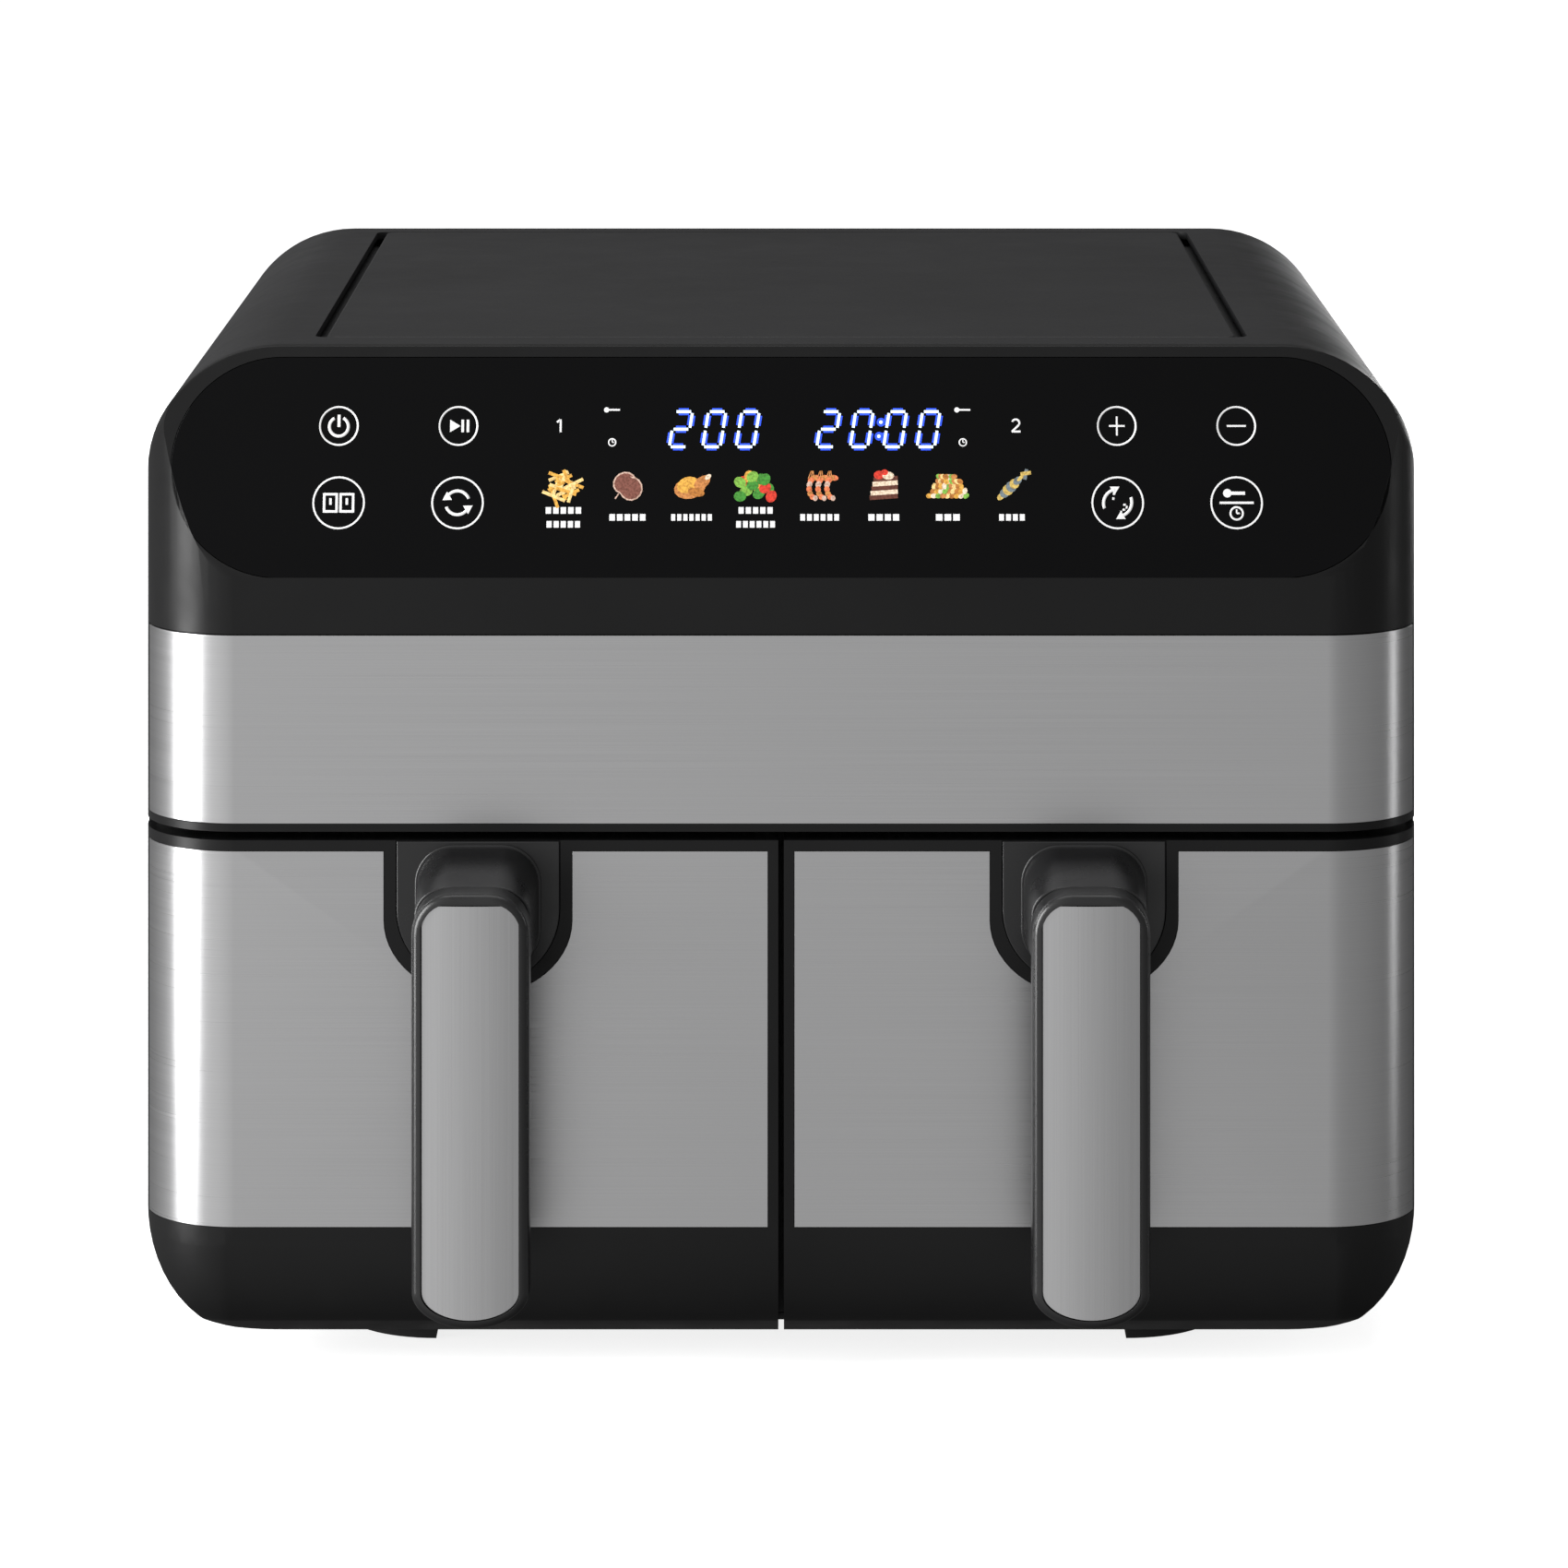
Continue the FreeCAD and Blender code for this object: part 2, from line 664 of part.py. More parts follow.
def cavity_liner(probe):
    """Sheet liner of one bay, open at the front, with a flange and the air hole above."""
    outside = casing_form(shell_wall + liner_case_gap)
    inside = casing_form(shell_wall + liner_case_gap + liner_wall)
    box = block(liner_x0, liner_x1, liner_y0, liner_y1, liner_z0, liner_z1).common(outside)
    room = block(liner_x0 + liner_wall, liner_x1 - liner_wall, front_y, liner_y1 - liner_wall,
                 liner_z0 + liner_wall, liner_z1 - liner_wall).common(inside)
    flange = block(divider_wall / 2, width, liner_y0, liner_y0 + liner_wall, 0, liner_z1)
    flange = flange.common(casing_form(shell_wall))
    box = box.fuse(flange).cut(room)
    return box.cut(post(bay_x, bay_y, liner_z0 + 2, top_z, air_hole_radius)).cut(probe)


def heater_guard():
    """Round grid under the heater."""
    z0, z1 = liner_z1, liner_z1 + guard_thickness
    guard = post(bay_x, bay_y, z0, z1, air_hole_radius + guard_overlap)
    guard = guard.cut(post(bay_x, bay_y, z0, z1, air_hole_radius - guard_ring_wall))
    for i in range(guard_rings):
        radius = air_hole_radius - guard_ring_wall - (i + 1) * guard_ring_pitch
        ring = post(bay_x, bay_y, z0, z1, radius)
        guard = guard.fuse(ring.cut(post(bay_x, bay_y, z0, z1, radius - guard_ring_wall)))
    for angle in range(0, 180, 45):
        bar = block(-air_hole_radius, air_hole_radius, -1, 1, z0, z1)
        bar.rotate(Vector(0, 0, 0), Vector(0, 0, 1), angle)
        bar.translate(Vector(bay_x, bay_y, 0))
        guard = guard.fuse(bar)
    return guard


def exhaust_duct():
    """Square duct from the dome to the rear grille."""
    z0 = liner_z1 + duct_lift
    y0 = bay_y + dome_radius + duct_clearance
    half = duct_width / 2
    duct = block(bay_x - half, bay_x + half, y0, shell_rear, z0, z0 + duct_height)
    half -= duct_wall
    return duct.cut(block(bay_x - half, bay_x + half, y0 - 1, shell_rear + 1,
                          z0 + duct_wall, z0 + duct_height - duct_wall))


def duct_mouth():
    """Space cut from the dome where the duct starts."""
    half = duct_width / 2 - 2 * duct_wall
    z0 = liner_z1 + duct_lift + 4 * duct_wall
    return block(bay_x - half, bay_x + half, bay_y + coil_outer, bay_y + dome_radius + dome_flange, z0,
                 z0 + duct_height - 6 * duct_wall)


def motor():
    """Fan motor on three legs, bored for its shaft."""
    body = post(bay_x, bay_y, motor_z0, motor_z1, motor_radius)
    body = body.fuse(post(bay_x, bay_y, motor_z1, motor_z1 + motor_hub_height, hub_radius))
    for i in range(3):
        angle = math.radians(90 + i * 120)
        reach = motor_radius - motor_leg_radius - motor_leg_inset
        x = bay_x + reach * math.cos(angle)
        y = bay_y + reach * math.sin(angle)
        body = body.fuse(post(x, y, dome_top, motor_z0, motor_leg_radius))
    bore = shaft_radius + shaft_running_clearance
    return body.cut(post(bay_x, bay_y, dome_top, motor_z1 + motor_hub_height + 1, bore))


def bladed_wheel(z0, radius, height, blades, disc):
    """Hub with radial blades, and a back disc if disc is set. Bored to sit on the shaft."""
    wheel = post(bay_x, bay_y, z0, z0 + height, hub_radius)
    if disc:
        wheel = wheel.fuse(post(bay_x, bay_y, z0 + height - blade_wall, z0 + height, radius))
    for i in range(blades):
        blade = block(hub_radius - 1, radius, -blade_wall / 2, blade_wall / 2, z0, z0 + height)
        if not disc:
            middle = Vector(0, 0, z0 + height / 2)
            blade = block(hub_radius - 1, radius, -height / 2, height / 2,
                          middle.z - blade_wall / 2, middle.z + blade_wall / 2)
            blade.rotate(middle, Vector(1, 0, 0), 35)
            blade = blade.common(post(0, 0, z0, z0 + height, radius))
        blade.rotate(Vector(0, 0, 0), Vector(0, 0, 1), i * 360.0 / blades)
        blade.translate(Vector(bay_x, bay_y, 0))
        wheel = wheel.fuse(blade)
    return wheel.cut(post(bay_x, bay_y, z0 - 1, z0 + height + 1, shaft_radius))


def motor_shaft():
    """Shaft from the hot-air fan up through the motor to the cooling fan."""
    return post(bay_x, bay_y, hot_fan_z0, cool_fan_z0 + cool_fan_height, shaft_radius)


def temperature_probe():
    """Upright sensor through the liner's top, behind the air hole."""
    y = (bay_y + dome_radius + dome_flange + liner_y1) / 2
    low = liner_z1 - probe_below
    return post(bay_x + probe_offset, y, low, low + probe_length, probe_radius)


def drawer_sensor():
    """Sealed magnetic sensor on the back of the liner that tells if the drawer is in."""
    wide, deep, high = sensor_size
    middle = (liner_z0 + liner_z1) / 2
    return block(bay_x - wide / 2, bay_x + wide / 2, liner_y1, liner_y1 + deep, middle - high / 2, middle + high / 2)


def drawer_rails():
    """Pair of ledges inside the liner that the tub's rim slides on."""
    top = tub_z1 - tub_rim_thickness - rail_clearance
    reach = tub_side_gap - liner_wall - 2 * rail_clearance
    rails = []
    for x in (liner_x0 + liner_wall, liner_x1 - liner_wall - reach):
        rails.append(block(x, x + reach, liner_y0 + 2, liner_y1 - liner_wall, top - rail_height, top))
    return Part.makeCompound(rails)


def bay():
    """All fixed and spinning pieces of one bay."""
    element = heating_element()
    probe = temperature_probe()
    save_pair("heating_element", element)
    save_pair("heater_dome", heater_dome(element, duct_mouth()))
    save_pair("cavity_liner", cavity_liner(probe))
    save_pair("heater_guard", heater_guard())
    save_pair("fan_motor", motor())
    save_pair("hot_air_fan", bladed_wheel(hot_fan_z0, hot_fan_radius, hot_fan_height, 12, True))
    save_pair("cooling_fan", bladed_wheel(cool_fan_z0, cool_fan_radius, cool_fan_height, 7, False))
    save_pair("motor_shaft", motor_shaft())
    save_pair("temperature_probe", probe)
    save_pair("drawer_sensor", drawer_sensor())
    save_pair("drawer_rails", drawer_rails())
    duct = exhaust_duct()
    save("exhaust_ducts", Part.makeCompound([duct, duct.mirror(Vector(0, 0, 0), Vector(1, 0, 0))]))


# ---- Drawer, built on the right ----
def front_form(inset):
    """Solid shape of one drawer front, moved in by inset."""
    solid = casing_form(inset).common(chin_form(inset))
    inner = centre_gap / 2 + inset
    return solid.common(block(inner, width, front_y, front_y + front_depth, base_z, drawer_top - inset))


def steel_zone():
    """Space of the steel face, without the handle's cut-out."""
    zone = block(centre_gap / 2 + steel_border_side, width, front_y - 1, front_y + band_wrap,
                 base_z + chin_height, drawer_top - steel_border_top)
    cutout = u_outline(handle_x, cutout_half_width, drawer_top, cutout_straight, cutout_drop,
                       front_view(front_y - 2), Vector(0, front_wall + 2, 0))
    return zone.cut(cutout)


def handle_plate(grow):
    """Half-oval plate that carries the handle, flush in the drawer front."""
    return u_outline(handle_x, base_half_width + grow, drawer_top - base_top_margin + grow,
                     base_straight + grow, base_drop + grow, front_view(front_y), Vector(0, front_wall, 0))


def neck():
    """Neck from the plate to the grip: its top falls and its underside rises towards the grip."""
    high = drawer_top - neck_top
    low = high - neck_height
    wires = []
    for y, shrink, fall, rise in ((front_y, 0, 0, 0), (grip_back_y, neck_taper, neck_fall, neck_rise)):
        left = handle_x - neck_width / 2 + shrink
        right = handle_x + neck_width / 2 - shrink
        radius = neck_corner - shrink
        wires.append(rounded_wire([(left, low + rise, radius), (right, low + rise, radius),
                                   (right, high - fall, radius), (left, high - fall, radius)], front_view(y)))
    return Part.makeLoft(wires, True, True)


def handle_screws():
    """Two screws from inside the drawer front into the neck."""
    middle = drawer_top - neck_top - neck_height / 2
    y = front_y + front_wall
    screws = []
    for side in (-1, 1):
        x = handle_x + side * handle_screw_pitch / 2
        head = rod(x, middle, y, y + screw_head, screw_head_radius)
        screws.append(head.fuse(rod(x, middle, y - handle_screw_length, y, screw_radius)))
    return Part.makeCompound(screws)


def insert_outline(y, travel):
    """Steel strip in the grip's face."""
    high = drawer_top - grip_top - insert_margin_top
    low = drawer_top - grip_top - grip_length + insert_margin_bottom
    half = grip_width / 2 - insert_margin_side
    drop = grip_bottom_drop - insert_margin_bottom
    solid = u_outline(handle_x, half, high, high - low - drop, drop, front_view(y), Vector(0, travel, 0))
    corners = [(handle_x - half, low - 1, 0), (handle_x + half, low - 1, 0),
               (handle_x + half, high, insert_corner), (handle_x - half, high, insert_corner)]
    return solid.common(prism(corners, front_view(y), Vector(0, travel, 0)))


def grip_blank():
    """Upright grip with a rounded top, an oval bottom and rounded edges."""
    high = drawer_top - grip_top
    low = high - grip_length
    half = grip_width / 2
    front = front_y - handle_reach
    travel = Vector(0, grip_thickness, 0)
    solid = u_outline(handle_x, half, high, grip_length - grip_bottom_drop, grip_bottom_drop,
                      front_view(front), travel)
    corners = [(handle_x - half, low - 1, 0), (handle_x + half, low - 1, 0),
               (handle_x + half, high, grip_corner), (handle_x - half, high, grip_corner)]
    solid = solid.common(prism(corners, front_view(front), travel)).removeSplitter()
    rims = [edge for edge in solid.Edges if edge.BoundBox.YLength < 1e-3]
    return solid.makeFillet(grip_edge_round, rims)


def drawer_tub():
    """Coated pan with a rim that hangs on the rails."""
    outer = prism(tray_outline(tub_x0, tub_x1, tub_y0, tub_y1, tub_corner), plan_view(tub_z0),
                  Vector(0, 0, tub_height))
    outer = outer.makeFillet(tub_bottom_round, level_edges(outer, tub_z0))
    inner = prism(tray_outline(tub_x0 + tub_wall, tub_x1 - tub_wall, tub_y0 + tub_wall, tub_y1 - tub_wall,
                               tub_corner - tub_wall), plan_view(tub_z0 + tub_wall), Vector(0, 0, tub_height))
    inner = inner.makeFillet(tub_bottom_round - tub_wall, level_edges(inner, tub_z0 + tub_wall))
    rim = prism(tray_outline(tub_x0 - tub_rim, tub_x1 + tub_rim, tub_y0 - tub_rim, tub_y1 + tub_rim,
                             tub_corner + tub_rim), plan_view(tub_z1 - tub_rim_thickness),
                Vector(0, 0, tub_rim_thickness))
    rim = rim.cut(block(0, width, front_y, tub_y0, 0, top_z))
    return outer.fuse(rim).cut(inner)


def plate_bumpers():
    """Four soft blocks on the plate's long edges."""
    z0 = tub_z0 + tub_wall + plate_lift - bumper_drop
    bumpers = []
    for x in (tub_x0 + tub_wall + bumper_clearance, tub_x1 - tub_wall - bumper_clearance - bumper_width):
        for y in (tub_y0 + bumper_inset, tub_y1 - bumper_inset):
            bumpers.append(block(x, x + bumper_width, y - bumper_length / 2, y + bumper_length / 2,
                                 z0, z0 + bumper_height))
    return Part.makeCompound(bumpers)


def crisper_plate(bumpers):
    """Slotted plate that lifts the food off the tub's floor."""
    margin = tub_wall + plate_margin
    z0 = tub_z0 + tub_wall + plate_lift
    x0, x1 = tub_x0 + margin, tub_x1 - margin
    y0, y1 = tub_y0 + margin, tub_y1 - margin
    plate = prism(tray_outline(x0, x1, y0, y1, tub_corner - margin), plan_view(z0), Vector(0, 0, plate_thickness))
    columns = int((x1 - x0 - 2 * bumper_width - plate_slot_width) / plate_slot_pitch_x)
    rows = int((y1 - y0 - plate_slot_length) / plate_slot_pitch_y)
    slots = []
    for i in range(columns):
        for j in range(rows):
            x = bay_x + (i - (columns - 1) / 2) * plate_slot_pitch_x
            y = bay_y + (j - (rows - 1) / 2) * plate_slot_pitch_y
            outline = tray_outline(x - plate_slot_width / 2, x + plate_slot_width / 2, y - plate_slot_length / 2,
                                   y + plate_slot_length / 2, plate_slot_width / 2 - round_flat)
            slots.append(prism(outline, plan_view(z0 - 1), Vector(0, 0, plate_thickness + 2)))
    plate = plate.cut(Part.makeCompound(slots)).cut(bumpers)
    for x in (x0 + plate_leg_inset, x1 - plate_leg_inset):
        for y in (y0 + plate_leg_inset, y1 - plate_leg_inset):
            plate = plate.fuse(post(x, y, tub_z0 + tub_wall, z0 + plate_thickness, plate_leg_radius))
    return plate


def drawer():
    """All pieces of one drawer and of the plate in it."""
    form = front_form(0)
    steel = form.cut(front_form(steel_sheet)).common(steel_zone())
    hollow = front_form(front_wall)
    hollow = hollow.fuse(hollow.translated(Vector(0, front_wall, 0)))
    screws = handle_screws()
    moulding = form.cut(hollow).cut(steel_zone().cut(front_form(steel_sheet)))
    moulding = moulding.cut(handle_plate(hairline)).cut(screws)
    save_pair("drawer_front", moulding)
    save_pair("drawer_steel", steel)
    back_inset = front_wall + back_plate_clearance
    back = front_form(back_inset).common(block(0, width, plate_back_y, tub_y0, 0, top_z))
    save_pair("drawer_back_plate", back)
    save_pair("drawer_tub", drawer_tub())
    grip = grip_blank()
    insert_y = front_y - handle_reach
    insert = insert_outline(insert_y, insert_thickness)
    base = handle_plate(0).fuse(neck()).cut(screws)
    save_pair("handle_base", base)
    save_pair("handle_grip", grip.cut(insert))
    save_pair("handle_insert", insert)
    save_pair("handle_screws", screws)
    bumpers = plate_bumpers()
    save_pair("crisper_plate", crisper_plate(bumpers))
    save_pair("plate_bumpers", bumpers)


def casing():
    """All pieces of the casing and the head."""
    outer = casing_form(0)
    screws = case_screws()
    housing, tray = case_shells(outer, screws)
    save("outer_housing", housing)
    save("base_tray", tray)
    save("rear_cover", rear_cover(outer, screws))
    save("case_screws", screws)
    save("cord_grommet", cord_grommet())
    save("top_panel", top_panel())
    save("front_feet", feet(front_y + front_foot_place))
    save("rear_feet", feet(rear_y - rear_foot_place))
    save("centre_divider", centre_divider())
    save("steel_band", steel_band(outer))
    save("band_frame", band_frame(outer))
    save("front_fascia", front_fascia(outer, glass_blank(hairline)))
    save("control_glass", glass_blank(0).common(outer))
    save("display_module", display_module())
    save("control_board", control_board())
    save("power_board", power_board())


def main():
    """Writes every node of the air fryer."""
    os.makedirs("parts", exist_ok=True)
    casing()
    bay()
    drawer()


main()
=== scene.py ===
"""Looks of a two-drawer air fryer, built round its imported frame, in metres."""

import json
import logging
import math
from dataclasses import dataclass, field
from enum import Enum
from typing import Callable, Iterable, Optional

import bmesh
import bpy
from mathutils import Matrix, Vector


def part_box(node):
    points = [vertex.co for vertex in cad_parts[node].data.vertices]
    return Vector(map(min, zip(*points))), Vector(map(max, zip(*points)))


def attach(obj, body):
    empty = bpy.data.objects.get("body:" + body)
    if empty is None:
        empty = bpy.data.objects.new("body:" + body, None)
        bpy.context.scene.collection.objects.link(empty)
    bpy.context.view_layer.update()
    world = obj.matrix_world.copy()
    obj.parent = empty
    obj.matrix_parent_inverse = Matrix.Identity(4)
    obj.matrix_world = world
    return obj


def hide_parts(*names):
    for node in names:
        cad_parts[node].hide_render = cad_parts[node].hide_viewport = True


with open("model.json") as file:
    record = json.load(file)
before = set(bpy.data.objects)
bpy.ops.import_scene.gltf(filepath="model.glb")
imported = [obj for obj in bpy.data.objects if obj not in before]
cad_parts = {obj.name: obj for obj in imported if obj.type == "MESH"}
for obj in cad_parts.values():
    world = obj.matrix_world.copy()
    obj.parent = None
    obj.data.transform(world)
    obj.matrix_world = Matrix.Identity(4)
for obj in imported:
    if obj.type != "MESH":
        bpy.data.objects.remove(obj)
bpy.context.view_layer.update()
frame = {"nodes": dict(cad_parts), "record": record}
LOG = logging.getLogger("air_fryer")
Point = tuple[float, float]
Rgb = tuple[float, float, float]
Plane = tuple[Vector, Vector]

MM = 0.001
SHARP = math.radians(26)  # edges that turn more than this stay crisp
WELD = 1e-6  # points closer than this are one
SLIT = 1e-7  # a cutting plane's own tolerance
NEAR = 1e-5  # a point this close to a plane lies on it
MOSTLY = 0.9  # least cosine of a face that looks roughly along an axis
SQUARE = 0.999  # least cosine of a face square to an axis
FLAT = 0.9999  # the same for the drawers' flat front
RIGHT, BACK, UP = Vector((1, 0, 0)), Vector((0, 1, 0)), Vector((0, 0, 1))


class Side(Enum):
    """Which half of the fryer a piece belongs to."""

    LEFT = -1
    RIGHT = 1

    def node(self, name: str) -> str:
        """Full node or body name on this side."""
        return f"{self.name.lower()}_{name}"


class Brushing(Enum):
    """Direction of the lines on brushed steel, as stretch factors of a noise along X, Y and Z."""

    LEVEL = (6.0, 6.0, 4200.0)
    UPRIGHT = (4200.0, 4200.0, 9.0)


# ---------------------------------------------------------------- finishes
class NodeBoard:
    """Small helper that adds and links shader nodes on one material."""

    DARK, LIGHT = 0.3, 0.7  # the usual range of a noise pattern

    def __init__(self, name: str) -> None:
        """Starts a material with a Principled shader.

        Args:
            name: the material's name.
        """
        self.material = bpy.data.materials.new(name)
        self.material.use_nodes = True
        self.tree = self.material.node_tree
        self.shader = self.tree.nodes["Principled BSDF"]

    def add(self, kind: str, **settings: object) -> bpy.types.Node:
        """Adds a node.

        Args:
            kind: Blender's node type name.
            settings: attributes to set on it.

        Returns:
            The new node.
        """
        node = self.tree.nodes.new(kind)
        for key, value in settings.items():
            setattr(node, key, value)
        return node

    def link(self, start: bpy.types.NodeSocket, end: bpy.types.NodeSocket) -> None:
        """Joins two sockets."""
        self.tree.links.new(start, end)

    def dial(self, values: dict[str, object], node: Optional[bpy.types.Node] = None) -> None:
        """Sets sockets by name, on the shader when no node is given."""
        for name, value in values.items():
            (node or self.shader).inputs[name].default_value = value

    def pattern(self, scale: float, stretch: Iterable[float] = (1, 1, 1),
                detail: float = 3.0) -> bpy.types.NodeSocket:
        """Noise on object coordinates.

        Args:
            scale: noise scale, per metre.
            stretch: factors along X, Y and Z.
            detail: noise detail.

        Returns:
            The noise's value socket.
        """
        place = self.add("ShaderNodeTexCoord")
        mapping = self.add("ShaderNodeMapping")
        self.dial({"Scale": tuple(stretch)}, mapping)
        noise = self.add("ShaderNodeTexNoise")
        self.dial({"Scale": scale, "Detail": detail}, noise)
        self.link(place.outputs["Object"], mapping.inputs["Vector"])
        self.link(mapping.outputs["Vector"], noise.inputs["Vector"])
        return noise.outputs["Fac"]

    def spread(self, value: bpy.types.NodeSocket, low: float, high: float) -> bpy.types.NodeSocket:
        """Maps a pattern's usual range onto low-high.

        Args:
            value: the pattern.
            low, high: the range to reach.

        Returns:
            The mapped value's socket.
        """
        ramp = self.add("ShaderNodeMapRange")
        self.dial({"From Min": self.DARK, "From Max": self.LIGHT, "To Min": low, "To Max": high}, ramp)
        self.link(value, ramp.inputs["Value"])
        return ramp.outputs["Result"]

    def tint(self, value: bpy.types.NodeSocket, dark: Rgb, light: Rgb) -> None:
        """Colours the shader between two colours by a pattern.

        Args:
            value: the pattern.
            dark, light: the two colours.
        """
        ramp = self.add("ShaderNodeValToRGB")
        for stop, place, colour in zip(ramp.color_ramp.elements, (self.DARK, self.LIGHT), (dark, light)):
            stop.position = place
            stop.color = (*colour, 1)
        self.link(value, ramp.inputs["Fac"])
        self.link(ramp.outputs["Color"], self.shader.inputs["Base Color"])

    def bump(self, value: bpy.types.NodeSocket, depth: float, strength: float) -> None:
        """Raises the surface by a pattern, depth in metres.

        Args:
            value: the pattern.
            depth: height of the pattern.
            strength: how much of it shows.
        """
        node = self.add("ShaderNodeBump")
        self.dial({"Distance": depth, "Strength": strength}, node)
        self.link(value, node.inputs["Height"])
        self.link(node.outputs["Normal"], self.shader.inputs["Normal"])


def scaled(colour: Rgb, factor: float) -> Rgb:
    """A colour made lighter or darker."""
    return tuple(min(1.0, c * factor) for c in colour)


@dataclass(frozen=True)
class MouldedPlastic:
    """Injection-moulded plastic with a fine grain and slight handling marks."""

    name: str
    colour: Rgb
    roughness: float = 0.42
    grain: float = 2600.0
    grain_depth: float = 0.00002
    specular: float = 0.5

    def make(self) -> bpy.types.Material:
        """Builds the material.

        Returns:
            The material.
        """
        board = NodeBoard(self.name)
        cloud = board.pattern(14.0, detail=5.0)
        board.tint(cloud, scaled(self.colour, 0.86), scaled(self.colour, 1.14))
        board.link(board.spread(board.pattern(60.0), self.roughness - 0.05, self.roughness + 0.06),
                   board.shader.inputs["Roughness"])
        board.dial({"Specular IOR Level": self.specular})
        board.bump(board.pattern(self.grain, detail=2.0), self.grain_depth, 0.6)
        return board.material


@dataclass(frozen=True)
class BrushedSteel:
    """Stainless sheet with fine parallel lines."""

    name: str
    brushing: Brushing
    colour: Rgb = (0.55, 0.55, 0.555)
    roughness: float = 0.30

    def make(self) -> bpy.types.Material:
        """Builds the material.

        Returns:
            The material.
        """
        board = NodeBoard(self.name)
        lines = board.pattern(1.0, self.brushing.value, 4.0)
        board.tint(lines, scaled(self.colour, 0.95), scaled(self.colour, 1.05))
        board.link(board.spread(lines, self.roughness - 0.03, self.roughness + 0.05),
                   board.shader.inputs["Roughness"])
        board.dial({"Metallic": 1.0})
        board.bump(lines, 0.00001, 0.12)
        return board.material


@dataclass(frozen=True)
class SheetMetal:
    """Plain or coated sheet: mottled colour and roughness."""

    name: str
    colour: Rgb
    metallic: float = 1.0
    roughness: float = 0.35
    mottle: float = 90.0
    coat: float = 0.0

    def make(self) -> bpy.types.Material:
        """Builds the material.

        Returns:
            The material.
        """
        board = NodeBoard(self.name)
        spots = board.pattern(self.mottle, detail=6.0)
        board.tint(spots, scaled(self.colour, 0.8), scaled(self.colour, 1.15))
        board.link(board.spread(spots, self.roughness - 0.08, self.roughness + 0.1),
                   board.shader.inputs["Roughness"])
        board.dial({"Metallic": self.metallic, "Coat Weight": self.coat})
        board.bump(board.pattern(700.0), 0.00002, 0.4)
        return board.material


@dataclass(frozen=True)
class BlackGlass:
    """Polished tinted glass over a printed black back."""

    name: str = "black_panel_glass"
    colour: Rgb = (0.0022, 0.0022, 0.0025)

    def make(self) -> bpy.types.Material:
        """Builds the material.

        Returns:
            The material.
        """
        board = NodeBoard(self.name)
        board.tint(board.pattern(9.0), scaled(self.colour, 0.9), scaled(self.colour, 1.1))
        smears = board.pattern(35.0, detail=6.0)
        board.link(board.spread(smears, 0.10, 0.15), board.shader.inputs["Roughness"])
        board.dial({"Specular IOR Level": 0.10})
        board.bump(board.pattern(25.0), 0.00001, 0.1)
        return board.material


@dataclass(frozen=True)
class LitPrint:
    """Symbols and digits that glow through the glass."""

    name: str
    colour: Rgb
    glow: float

    def make(self) -> bpy.types.Material:
        """Builds the material.

        Returns:
            The material.
        """
        board = NodeBoard(self.name)
        ink = board.pattern(800.0)
        board.tint(ink, scaled(self.colour, 0.94), scaled(self.colour, 1.03))
        board.dial({"Roughness": 0.5, "Emission Color": (*self.colour, 1), "Emission Strength": self.glow})
        return board.material


@dataclass(frozen=True)
class FoodPrint:
    """Coloured food pictures: each face carries its own ink in an attribute."""

    name: str = "food_picture_print"
    glow: float = 0.55

    def make(self) -> bpy.types.Material:
        """Builds the material.

        Returns:
            The material.
        """
        board = NodeBoard(self.name)
        ink = board.add("ShaderNodeAttribute", attribute_name="ink")
        mix = board.add("ShaderNodeMix", data_type="RGBA", blend_type="MULTIPLY")
        mix.inputs[0].default_value = 1.0
        ramp = board.add("ShaderNodeValToRGB")
        ramp.color_ramp.elements[0].color = (0.55, 0.5, 0.45, 1)
        ramp.color_ramp.elements[0].position = 0.35
        ramp.color_ramp.elements[1].position = 0.6
        board.link(board.pattern(1500.0, detail=4.0), ramp.inputs["Fac"])
        board.link(ink.outputs["Color"], mix.inputs[6])
        board.link(ramp.outputs["Color"], mix.inputs[7])
        for name in ("Base Color", "Emission Color"):
            board.link(mix.outputs[2], board.shader.inputs[name])
        board.dial({"Roughness": 0.5, "Emission Strength": self.glow})
        return board.material


